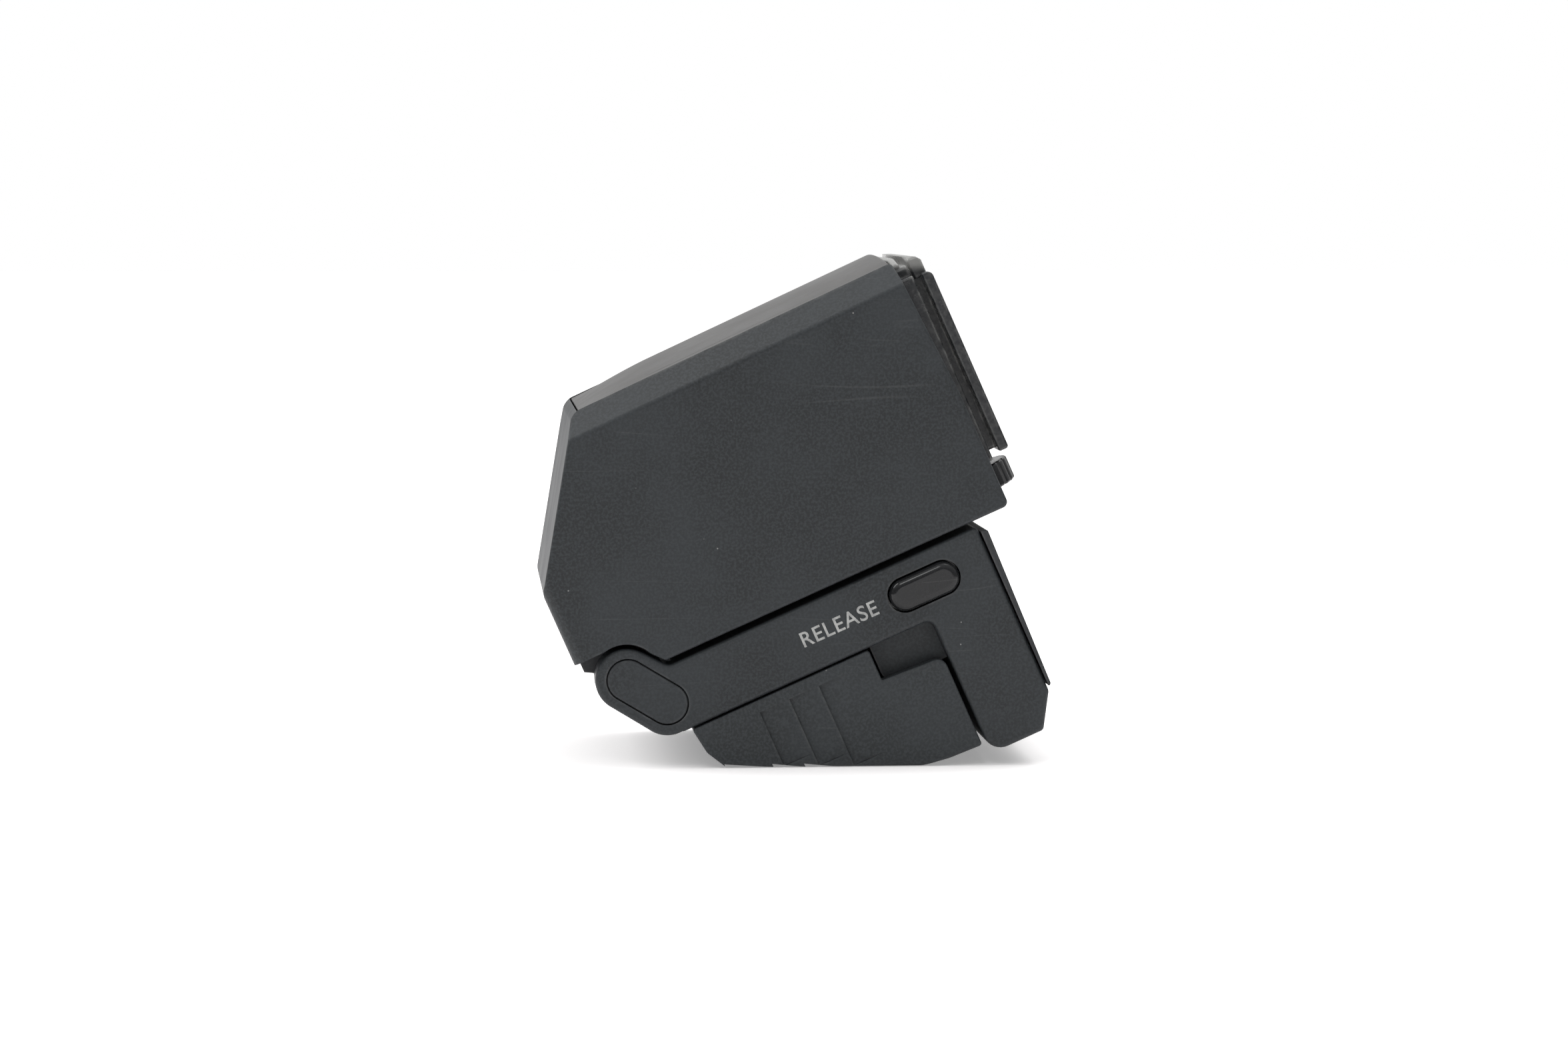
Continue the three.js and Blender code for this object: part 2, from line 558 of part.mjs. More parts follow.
const panelTop = AXIS_Z + 5.2;
const panelFoot = AXIS_Z - 5.2;
add("display_backlight", block(6.0, 8.0, -6.8, 6.8, panelFoot, panelTop), DIFFUSER);
add("display_panel", block(8.2, 9.1, -6.6, 6.6, panelFoot + 0.2, panelTop - 0.2), GLOSS_BLACK);
const holderOut = block(5.4, 10.8, -8.4, 8.4, AXIS_Z - 6.8, AXIS_Z + 6.8)
  .add(block(9.7, 10.8, -13.6, 13.6, 3.65, 22.4));
const holderIn = block(5.8, 9.4, -7.0, 7.0, AXIS_Z - 5.4, AXIS_Z + 5.4);
const holderEye = block(9, 12, -5.9, 5.9, AXIS_Z - 4.5, AXIS_Z + 4.5);
const holderBack = block(5, 6, -4, 4, AXIS_Z - 3, AXIS_Z + 3);
add("display_holder", holderOut.subtract(holderIn).subtract(holderEye).subtract(holderBack), GRAINED_BLACK);

function ring(outer, hole, x0, x1, steps = 40) {
  return rod("x", outer, x0, x1, { z: AXIS_Z }, steps)
    .subtract(rod("x", hole, x0 - 1, x1 + 1, { z: AXIS_Z }, steps));
}

const guideSlot = block(26.4, 32.6, -7.3, -5.3, AXIS_Z - 12, AXIS_Z - 3.5);
const tubeFlange = block(14.2, 15.4, -13.6, 13.6, 3.65, 22.4)
  .subtract(rod("x", 9.0, 10, 20, { z: AXIS_Z }, 40));
add("optics_tube", ring(TUBE_RADIUS, 8.8, 14.2, 37.4).add(tubeFlange).subtract(guideSlot), GRAINED_BLACK);

const LENS_RINGS = 4;

// A lens blank with both faces curved as shallow parabolas.
function lens(radius, edge, front, back, x) {
  const profile = [[0, -edge / 2 - front]];
  for (let i = 1; i <= LENS_RINGS; i += 1) {
    profile.push([(radius * i) / LENS_RINGS, -edge / 2 - front * (1 - (i / LENS_RINGS) ** 2)]);
  }
  for (let i = LENS_RINGS; i >= 1; i -= 1) {
    profile.push([(radius * i) / LENS_RINGS, edge / 2 + back * (1 - (i / LENS_RINGS) ** 2)]);
  }
  profile.push([0, edge / 2 + back]);
  return turned(profile, 28).rotate([0, 90, 0]).translate([x, 0, AXIS_Z]);
}

const follower = block(28, 31, -7.0, -5.6, AXIS_Z - 9.0, AXIS_Z - 5.9);
const rack = block(28, 39.1, -7.0, -5.6, AXIS_Z - 9.7, AXIS_Z - 7.9);
add("lens_barrel", ring(8.7, 7.8, 17.5, 33.5).add(ring(8.2, 7.2, 24.4, 25.2)).add(follower).add(rack),
  SATIN_BLACK);
add("lens_front", lens(7.65, 1.2, 1.5, 1.2, 20.6), GLASS);
add("lens_rear", lens(7.65, 1.2, 1.3, 1.7, 29.4), GLASS);
add("head_board", block(12, 34.5, -12.6, 12.6, 2.6, 3.4).subtract(block(11, 40, -14, -4.2, 2, 4)), BOARD);
add("head_chip", block(16, 22, 1, 8, 3.55, 4.3), GLOSS_BLACK);

// ---------------------------------------------------------------- eyepiece frame, window and sensor

function eyepieceFrame() {
  const plug = outline([[-13.2, 4.6, 0.3], [13.2, 4.6, 0.3], [13.2, 24.0, 0.4], [-13.2, 24.0, 0.4]]);
  const rim = outline([
    [-13.2, 4.6, 0.3], [13.2, 4.6, 0.3], [13.2, 24.0, 0.3], [11.6, 24.0, 0], [11.6, 25.1, 0.5],
    [-11.6, 25.1, 0.5], [-11.6, 24.0, 0], [-13.2, 24.0, 0.3],
  ]);
  const brow = outline([
    [-11.4, 23.4, 0], [11.4, 23.4, 0], [11.4, 25.5, 0.4], [9, 26.1, 3], [-9, 26.1, 3], [-11.4, 25.5, 0.4],
  ]);
  const neck = outline([[-11.2, 5.4, 0.4], [11.2, 5.4, 0.4], [11.2, 25.0, 0.8], [-11.2, 25.0, 0.8]]);
  let frame = along(plug, 38.2, 39.5, 3).add(along(rim, 39.4, 40.85, 3));
  frame = frame.add(along(brow, 39.5, 40.2, 3)).add(along(neck, 40.8, NECK_END + 0.5, 3));
  frame = frame.add(along(brow, 40.95, 42.4, 3));
  const rail = outline([
    [NECK_END, 5.1, 0.2], [RAIL_FACE, 5.1, 0.3], [RAIL_FACE, 23.8, 0.5], [NECK_END, 23.8, 0],
  ]);
  for (const sign of [-1, 1]) {
    const [low, high] = span(9.6, 13.3, sign);
    frame = frame.add(across(rail, low, high, 3));
  }
  const sill = block(38.3, 40.15, -13.1, 13.1, 1.85, 4.8);
  const wheelRoom = rod("z", WHEEL.r + 0.35, 1, 4.5, WHEEL, 40);
  frame = frame.add(sill.subtract(wheelRoom));
  const opening = outline([
    [-10.2, 7.4, 1.2], [10.2, 7.4, 1.2], [10.2, 21.6, 1.2], [-10.2, 21.6, 1.2],
  ]);
  const sensor = block(41.3, 44, 3.0, 8.0, 5.9, 6.9);
  const pinionRoom = block(38, 40.45, -11.4, -4.7, 4.4, 7.1);
  return frame.subtract(along(opening, 36, 44, 4)).subtract(sensor).subtract(pinionRoom);
}

add("eyepiece_frame", eyepieceFrame(), GLOSS_BLACK);
const pane = outline([[-10.05, 7.55, 1.1], [10.05, 7.55, 1.1], [10.05, 21.45, 1.1], [-10.05, 21.45, 1.1]]);
add("eyepiece_window", along(pane, 40.6, 41.6), GLASS);
add("eye_sensor_window", block(41.45, 42.1, 3.15, 7.85, 6.05, 6.75), GLOSS_BLACK);

CASE_SCREWS.forEach(([x, y], index) => {
  const made = screw({ r: 1.1, h: 0.55 }, { r: 0.5, h: 2.0 }, 0.6).rotate([180, 0, 0]);
  add(`case_screw_${index + 1}`, made.translate([x, y, HEAD_FLOOR + 0.65]), STEEL);
});

// ---------------------------------------------------------------- diopter wheel

function diopterWheel() {
  const profile = [
    [0, 0.05], [WHEEL.r - 0.35, 0.05], [WHEEL.r, 0.5], [WHEEL.r, 2.0], [WHEEL.r - 0.3, 2.45], [0, 2.45],
  ];
  let wheel = turned(profile, 48);
  const boss = turned([[0, 2], [PINION_RADIUS, 2], [PINION_RADIUS, 4.9], [0, 4.9]], 24);
  wheel = wheel.add(boss);
  const teeth = 24;
  for (let i = 0; i < teeth; i += 1) {
    const turn = (i / teeth) * 360;
    const nick = rod("z", 0.22, -1, 4, { x: WHEEL.r + 0.06 }, 6).rotate([0, 0, turn]);
    wheel = wheel.subtract(nick);
  }
  return wheel.translate([WHEEL.x, WHEEL.y, WHEEL.low]);
}

add("diopter_wheel", diopterWheel(), GLOSS_BLACK);

// ---------------------------------------------------------------- resting place

const part = new THREE.Group();
part.add(unit);
unit.rotation.y = -THREE.MathUtils.degToRad(REST_TILT);
part.updateMatrixWorld(true);
const box = new THREE.Box3().setFromObject(part, true);
unit.position.x = -(box.min.x + box.max.x) / 2;
unit.position.y = -(box.min.y + box.max.y) / 2;
unit.position.z = -box.min.z;
part.updateMatrixWorld(true);

export default part;
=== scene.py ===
"""Clip-on electronic viewfinder, folded, standing on the ribbed cover that guards its shoe foot.

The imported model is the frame. Every new piece is worked in the unit's own millimetres: x runs back
towards the eyepiece, y across and z up, with the zero on the hinge axis. Seating a piece turns it to
the resting tilt and brings it to metres.
"""

import json
import logging
import math
from collections.abc import Callable, Sequence
from dataclasses import dataclass
from enum import Enum
from itertools import pairwise

import bmesh
import bpy
from bmesh.types import BMEdge, BMesh, BMVert
from mathutils import Matrix, Vector

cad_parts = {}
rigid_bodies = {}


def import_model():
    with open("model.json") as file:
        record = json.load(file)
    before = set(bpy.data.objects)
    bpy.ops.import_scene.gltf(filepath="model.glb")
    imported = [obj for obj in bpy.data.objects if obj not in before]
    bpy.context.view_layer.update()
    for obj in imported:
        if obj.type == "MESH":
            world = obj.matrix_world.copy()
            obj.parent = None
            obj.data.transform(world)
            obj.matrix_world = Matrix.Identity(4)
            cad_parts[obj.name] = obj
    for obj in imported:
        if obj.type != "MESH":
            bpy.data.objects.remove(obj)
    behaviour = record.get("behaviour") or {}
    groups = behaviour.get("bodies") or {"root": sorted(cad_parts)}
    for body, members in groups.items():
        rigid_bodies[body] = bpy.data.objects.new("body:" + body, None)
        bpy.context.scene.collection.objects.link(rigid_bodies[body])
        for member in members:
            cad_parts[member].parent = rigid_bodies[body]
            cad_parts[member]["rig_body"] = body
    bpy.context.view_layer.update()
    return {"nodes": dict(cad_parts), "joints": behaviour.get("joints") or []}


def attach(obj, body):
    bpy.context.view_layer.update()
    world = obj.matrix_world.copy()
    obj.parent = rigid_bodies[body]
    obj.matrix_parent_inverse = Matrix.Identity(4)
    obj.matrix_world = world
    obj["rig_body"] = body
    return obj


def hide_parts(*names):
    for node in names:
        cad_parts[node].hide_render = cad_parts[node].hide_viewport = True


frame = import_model()

LOG = logging.getLogger("viewfinder")
MM = 0.001

Corner = tuple[float, float, float]
Span = tuple[float, float]
Tree = bpy.types.NodeTree
Socket = bpy.types.NodeSocket


# ------------------------------------------------------------------ where the unit stands


def seat() -> Matrix:
    """Works out how the unit stands from its hinge axis and from the way its shoe cover slides off.

    Returns:
        The matrix from the unit's own millimetres to the frame's metres.
    """
    joints = {joint["name"]: joint for joint in frame["joints"]}
    ahead = joints["cover_slide"]["axis"]
    tilt = math.atan2(-ahead[2], -ahead[0])
    turned = Matrix.Rotation(-tilt, 4, "Y") @ Matrix.Scale(MM, 4)
    return Matrix.Translation(joints["head_tilt"]["pos_m"]) @ turned


SEAT = seat()


def unit_box(node: str) -> tuple[Vector, Vector]:
    """Measures a CAD node in the unit's own millimetres.

    Args:
        node: The node's name.

    Returns:
        Its lowest and highest corner.
    """
    back = SEAT.inverted()
    places = [back @ vertex.co for vertex in frame["nodes"][node].data.vertices]
    low = Vector([min(place[axis] for place in places) for axis in range(3)])
    high = Vector([max(place[axis] for place in places) for axis in range(3)])
    return low, high


# ------------------------------------------------------------------ stock: solids in the making


class View(Enum):
    """The side an outline is drawn from: its two axes, then the axis it is pulled along."""

    SIDE = (0, 2, 1)
    REAR = (1, 2, 0)
    PLAN = (0, 1, 2)

    def point(self, across: float, up: float, depth: float) -> Vector:
        """Turns two drawn coordinates and a depth into a place in the unit.

        Args:
            across: The first drawn coordinate.
            up: The second drawn coordinate.
            depth: The place along the pull.

        Returns:
            The place.
        """
        place = Vector((0.0, 0.0, 0.0))
        for axis, value in zip(self.value, (across, up, depth)):
            place[axis] = value
        return place

    def matrix(self) -> Matrix:
        """Turns a shape drawn flat on x and y to face this way."""
        columns = [self.point(1, 0, 0), self.point(0, 1, 0), self.point(0, 0, 1)]
        return Matrix(columns).transposed().to_4x4()


class Joinery(Enum):
    """How a tool works on a piece of stock."""

    JOIN = "UNION"
    CUT = "DIFFERENCE"
    KEEP = "INTERSECT"


LARGEST_ROUNDING = 1.3  # mm, the rounding that a bevel weight of one stands for
ROUNDING_STEPS = 5  # straight steps across a rounded crease
CREASE = math.radians(24)  # edges sharper than this count as creases
FLAT = math.radians(0.5)  # faces nearer to one plane than this are joined
WELD = 2e-4  # mm, corners nearer than this are one corner
BEYOND = 60.0  # mm, past the end of every piece
HAIR = 0.01  # mm, a gap too small to see
EDGE_BREAK = 0.14  # mm, the small rounding on a sharp moulded edge
ROUND_SIDES = 96  # sides of the larger discs and pills


class Stock:
    """A closed solid in the unit's own millimetres, shaped by operators and by joinery."""

    def __init__(self, mesh: BMesh) -> None:
        """Takes over a mesh."""
        self.mesh = mesh

    @classmethod
    def outline(
        cls, corners: Sequence[Corner], span: Span, view: View = View.SIDE, steps: int = 6
    ) -> "Stock":
        """Pulls an outline with rounded corners into a solid.

        Args:
            corners: Each corner's two coordinates and its radius.
            span: Where the pull starts and ends.
            view: The side the outline is drawn from.
            steps: Straight steps in each rounded corner.

        Returns:
            The solid.
        """
        mesh = bmesh.new()
        verts = [mesh.verts.new(view.point(a, b, span[0])) for a, b, _ in corners]
        mesh.faces.new(verts)
        for index, (a, b, radius) in enumerate(corners):
            if radius == 0:
                continue
            here = Vector((a, b))
            before = Vector(corners[index - 1][:2]) - here
            after = Vector(corners[(index + 1) % len(corners)][:2]) - here
            reach = radius / math.tan(before.angle(after) / 2)
            bmesh.ops.bevel(
                mesh, geom=[verts[index]], offset=reach, offset_type="OFFSET", segments=steps,
                profile=0.5, affect="VERTICES", material=-1,
            )
        return cls(mesh).pulled(view, span[1] - span[0])

    @classmethod
    def pill(
        cls, a: Span, b: Span, radius: float, span: Span, view: View = View.SIDE, steps: int = 72
    ) -> "Stock":
        """Pulls a stadium between two centres into a solid, or a disc where the centres are one.

        Args:
            a: The first centre.
            b: The second centre.
            radius: The radius of both ends.
            span: Where the pull starts and ends.
            view: The side the stadium is drawn from.
            steps: Sides of the full circle.

        Returns:
            The solid.
        """
        mesh = bmesh.new()
        bmesh.ops.create_circle(mesh, cap_ends=True, segments=steps, radius=radius)
        half_step = Matrix.Rotation(math.pi / steps, 3, "Z")
        bmesh.ops.rotate(mesh, matrix=half_step, verts=mesh.verts[:])
        reach = Vector(b) - Vector(a)
        ahead = [vert for vert in mesh.verts if vert.co.x > 0]
        bmesh.ops.translate(mesh, vec=(reach.length, 0, 0), verts=ahead)
        lean = math.atan2(reach.y, reach.x)
        place = Matrix.Translation(view.point(a[0], a[1], span[0])) @ view.matrix()
        bmesh.ops.transform(mesh, matrix=place @ Matrix.Rotation(lean, 4, "Z"), verts=mesh.verts[:])
        return cls(mesh).pulled(view, span[1] - span[0])

    @classmethod
    def rod(cls, centre: Span, radius: float, span: Span, view: View, steps: int = 48) -> "Stock":
        """Makes a round rod along the view's axis."""
        return cls.pill(centre, centre, radius, span, view, steps)

    @classmethod
    def block(cls, x: Span, y: Span, z: Span) -> "Stock":
        """Makes a square block between two planes on each axis."""
        corners = [(x[0], z[0], 0), (x[1], z[0], 0), (x[1], z[1], 0), (x[0], z[1], 0)]
        return cls.outline(corners, y)

    def pulled(self, view: View, depth: float) -> "Stock":
        """Extrudes the flat face this stock starts from, and turns its faces outwards.

        Args:
            view: The side the face is drawn from.
            depth: How far it is pulled.

        Returns:
            This stock.
        """
        made = bmesh.ops.extrude_face_region(self.mesh, geom=self.mesh.faces[:])
        moved = [part for part in made["geom"] if isinstance(part, BMVert)]
        bmesh.ops.translate(self.mesh, vec=view.point(0, 0, depth), verts=moved)
        bmesh.ops.recalc_face_normals(self.mesh, faces=self.mesh.faces[:])
        return self

    def turned(self, degrees: float, centre: Vector) -> "Stock":
        """Turns the stock about a line across the unit, its rear end upwards.

        Args:
            degrees: How far.
            centre: A point on the line.

        Returns:
            This stock.
        """
        turn = Matrix.Rotation(-math.radians(degrees), 3, "Y")
        bmesh.ops.rotate(self.mesh, cent=centre, matrix=turn, verts=self.mesh.verts[:])
        return self

    def join(self, *tools: "Stock") -> "Stock":
        """Adds other solids to this one."""
        return self._worked(tools, Joinery.JOIN)

    def cut(self, *tools: "Stock") -> "Stock":
        """Takes other solids out of this one."""
        return self._worked(tools, Joinery.CUT)

    def keep(self, *tools: "Stock") -> "Stock":
        """Keeps only what lies inside the other solids too."""
        return self._worked(tools, Joinery.KEEP)

    def _worked(self, tools: Sequence["Stock"], how: Joinery) -> "Stock":
        """Works the tools on this stock, one after another, and uses them up.

        Args:
            tools: The other solids.
            how: What they do to it.

        Returns:
            This stock.
        """
        body = as_object("stock", self.mesh)
        helpers = [as_object("tool", tool.mesh) for tool in tools]
        for helper in helpers:
            step = body.modifiers.new("joinery", "BOOLEAN")
            step.operation = how.value
            step.solver = "EXACT"
            step.object = helper
        self.mesh = taken(body)
        for helper in helpers:
            bpy.data.meshes.remove(helper.data)
        return self.settle()

    def settle(self) -> "Stock":
        """Merges doubled corners and joins faces that lie in one plane.

        Returns:
            This stock.
        """
        bmesh.ops.remove_doubles(self.mesh, verts=self.mesh.verts[:], dist=WELD)
        bmesh.ops.dissolve_degenerate(self.mesh, edges=self.mesh.edges[:], dist=WELD)
        bmesh.ops.dissolve_limit(
            self.mesh, angle_limit=FLAT, verts=self.mesh.verts[:], edges=self.mesh.edges[:],
            use_dissolve_boundaries=False, delimit=set(),
        )
        return self

    def rounded(
        self, rounding: float, where: Callable[[BMEdge], bool] | None = None, clamp: bool = False
    ) -> "Stock":
        """Rounds creases, before any hole is cut through the faces beside them.

        Args:
            rounding: The rounding in millimetres.
            where: Tells which creases it is for, or None for all of them.
            clamp: Whether roundings give way to each other where there is little room.

        Returns:
            This stock.
        """
        weight = self.mesh.edges.layers.float.new("bevel_weight_edge")
        for edge in self.mesh.edges:
            sharp = len(edge.link_faces) == 2 and edge.calc_face_angle(0.0) > CREASE
            if sharp and (where is None or where(edge)):
                edge[weight] = rounding / LARGEST_ROUNDING
        body = as_object("stock", self.mesh)
        step = body.modifiers.new("rounding", "BEVEL")
        step.limit_method = "WEIGHT"
        step.width = LARGEST_ROUNDING
        step.segments = ROUNDING_STEPS
        step.profile = 0.5
        step.material = -1
        step.use_clamp_overlap = clamp
        self.mesh = taken(body)
        layer = self.mesh.edges.layers.float.get("bevel_weight_edge")
        if layer:
            self.mesh.edges.layers.float.remove(layer)
        bmesh.ops.remove_doubles(self.mesh, verts=self.mesh.verts[:], dist=WELD)
        return self


def as_object(name: str, mesh: BMesh) -> bpy.types.Object:
    """Turns a bmesh into an object in the scene and frees it.

    Args:
        name: The object's name.
        mesh: The bmesh.

    Returns:
        The object.
    """
    data = bpy.data.meshes.new(name)
    mesh.to_mesh(data)
    mesh.free()
    made = bpy.data.objects.new(name, data)
    bpy.context.scene.collection.objects.link(made)
    return made


def taken(body: bpy.types.Object) -> BMesh:
    """Takes the mesh that an object's modifiers make, and removes the object.

    Args:
        body: The object.

    Returns:
        The mesh.
    """
    graph = bpy.context.evaluated_depsgraph_get()
    result = bpy.data.meshes.new_from_object(body.evaluated_get(graph))
    mesh = bmesh.new()
    mesh.from_mesh(result)
    bpy.data.meshes.remove(result)
    bpy.data.meshes.remove(body.data)
    return mesh


def middle(edge: BMEdge) -> Vector:
    """The middle of an edge."""
    return (edge.verts[0].co + edge.verts[1].co) / 2


def on_side(edge: BMEdge, half: float) -> bool:
    """Tells whether an edge lies in one of the two outer side faces."""
    return all(abs(abs(vert.co.y) - half) < HAIR for vert in edge.verts)


def both_sides(a: float, b: float) -> tuple[Span, Span]:
    """A span across the unit and its mirror image, each from low to high."""
    return (-b, -a), (a, b)


# ------------------------------------------------------------------ finishes


def linear(hex_colour: str) -> tuple[float, float, float, float]:
    """Turns an sRGB hex colour to linear light.

    Args:
        hex_colour: Six hex digits.

    Returns:
        Red, green, blue and a full alpha.
    """
    parts = [int(hex_colour[i:i + 2], 16) / 255 for i in (0, 2, 4)]
    light = [p / 12.92 if p <= 0.04045 else ((p + 0.055) / 1.055) ** 2.4 for p in parts]
    return (light[0], light[1], light[2], 1.0)


def per_mm(size_mm: float) -> float:
    """The texture scale that gives a feature this size on coordinates in metres."""
    return 1.0 / (size_mm * MM)


def add_node(tree: Tree, kind: str, inputs: dict, **settings: object) -> bpy.types.Node:
    """Adds a shader node with its settings, values and links.

    Args:
        tree: The material's node tree.
        kind: The node's type, without the ShaderNode prefix.
        inputs: Values or output sockets, by input name or number.
        **settings: The node's own properties.

    Returns:
        The node.
    """
    made = tree.nodes.new("ShaderNode" + kind)
    for name, value in settings.items():
        setattr(made, name, value)
    for key, value in inputs.items():
        if isinstance(value, Socket):
            tree.links.new(value, made.inputs[key])
        else:
            made.inputs[key].default_value = value
    return made


def new_material(name: str) -> tuple[bpy.types.Material, Tree, Socket]:
    """Starts a material.

    Args:
        name: The material's name.

    Returns:
        The material, its node tree and the socket of its object coordinates.
    """
    made = bpy.data.materials.new(name)
    made.use_nodes = True
    made.node_tree.nodes.clear()
    return made, made.node_tree, add_node(made.node_tree, "TexCoord", {}).outputs["Object"]


def close_material(made: bpy.types.Material, inputs: dict) -> bpy.types.Material:
    """Closes a material with one principled surface that has these inputs.

    Args:
        made: The material.
        inputs: The surface's values or sockets, by input name.

    Returns:
        The material.
    """
    shader = add_node(made.node_tree, "BsdfPrincipled", inputs)
    add_node(made.node_tree, "OutputMaterial", {"Surface": shader.outputs[0]})
    return made


def bumped(tree: Tree, height: Socket, strength: float, depth_mm: float) -> Socket:
    """The surface's normal after a relief of a real depth."""
    inputs = {"Strength": strength, "Distance": depth_mm * MM, "Height": height}
    return add_node(tree, "Bump", inputs).outputs[0]


def mixed(tree: Tree, share: object, low: object, high: object) -> Socket:
    """Mixes two colours by a share.

    Args:
        tree: The material's node tree.
        share: The share of the second colour, a value or a socket.
        low: The first colour, or its socket.
        high: The second colour, or its socket.

    Returns:
        The mixed colour's socket.
    """
    made = add_node(tree, "Mix", {0: share, 6: low, 7: high}, data_type="RGBA")
    return made.outputs[2]


def stepped(
    tree: Tree, value: Socket, start: float, end: float, low: float = 0.0, high: float = 1.0
) -> Socket:
    """Maps the stretch from start to end smoothly on to low to high.

    Args:
        tree: The material's node tree.
        value: The socket to map.
        start: The value that gives low.
        end: The value that gives high.
        low: The first result.
        high: The last result.

    Returns:
        The mapped socket.
    """
    inputs = {"Value": value, "From Min": start, "From Max": end, "To Min": low, "To Max": high}
    return add_node(tree, "MapRange", inputs, interpolation_type="SMOOTHSTEP").outputs[0]


def sums(tree: Tree, how: str, a: object, b: object) -> Socket:
    """Works one sum on two values or sockets. An addition stays between zero and one."""
    return add_node(tree, "Math", {0: a, 1: b}, operation=how, use_clamp=how == "ADD").outputs[0]


def noise(tree: Tree, place: Socket, size_mm: float, detail: float = 2.0) -> Socket:
    """A cloudy noise with features of a real size."""
    inputs = {"Vector": place, "Scale": per_mm(size_mm), "Detail": detail, "Roughness": 0.55}
    return add_node(tree, "TexNoise", inputs).outputs[0]


def specks(tree: Tree, place: Socket, spacing_mm: float, radius_mm: float, share: float) -> Socket:
    """Loose round specks, such as dust.

    Args:
        tree: The material's node tree.
        place: The coordinates.
        spacing_mm: The width of the cells that may hold one speck each.
        radius_mm: A speck's largest radius.
        share: The share of the cells that hold one.

    Returns:
        A mask, one on a speck.
    """
    cells = add_node(tree, "TexVoronoi", {"Vector": place, "Scale": per_mm(spacing_mm), "Randomness": 1.0})
    reach = radius_mm / spacing_mm
    spot = stepped(tree, cells.outputs["Distance"], reach, reach * 0.4)
    pick = add_node(tree, "SeparateColor", {0: cells.outputs["Color"]}).outputs[0]
    held = add_node(tree, "Math", {0: pick, 1: share}, operation="LESS_THAN").outputs[0]
    return sums(tree, "MULTIPLY", spot, held)


def hairlines(tree: Tree, place: Socket, turn: Sequence[float], spacing_mm: float) -> Socket:
    """Thin scratches that run one way and fade in and out.

    Args:
        tree: The material's node tree.
        place: The coordinates.
        turn: Degrees about x, y and z that set which way they run.
        spacing_mm: The rough distance between them.

    Returns:
        A mask, one on a scratch.
    """
    angles = [math.radians(angle) for angle in turn]
    laid = add_node(tree, "Mapping", {"Vector": place, "Rotation": angles, "Scale": (0.06, 1.0, 1.0)})
    field = noise(tree, laid.outputs[0], spacing_mm, 1.0)
    off = sums(tree, "ABSOLUTE", sums(tree, "SUBTRACT", field, 0.5), 0.0)
    line = stepped(tree, off, 0.003, 0.0005)
    patch = stepped(tree, noise(tree, place, spacing_mm * 1.6, 1.0), 0.56, 0.66)
    return sums(tree, "MULTIPLY", line, patch)


def rubbed(tree: Tree, radius_mm: float) -> Socket:
    """A mask of the edges that hands and cases rub, from how far rounding would turn the surface.

    Args:
        tree: The material's node tree.
        radius_mm: The radius of that rounding.

    Returns:
        A mask, one on a rubbed edge.
    """
    eased = add_node(tree, "Bevel", {"Radius": radius_mm * MM}, samples=6).outputs[0]
    true = add_node(tree, "NewGeometry", {}).outputs["True Normal"]
    likeness = add_node(tree, "VectorMath", {0: eased, 1: true}, operation="DOT_PRODUCT").outputs["Value"]
    return stepped(tree, likeness, 0.995, 0.86)


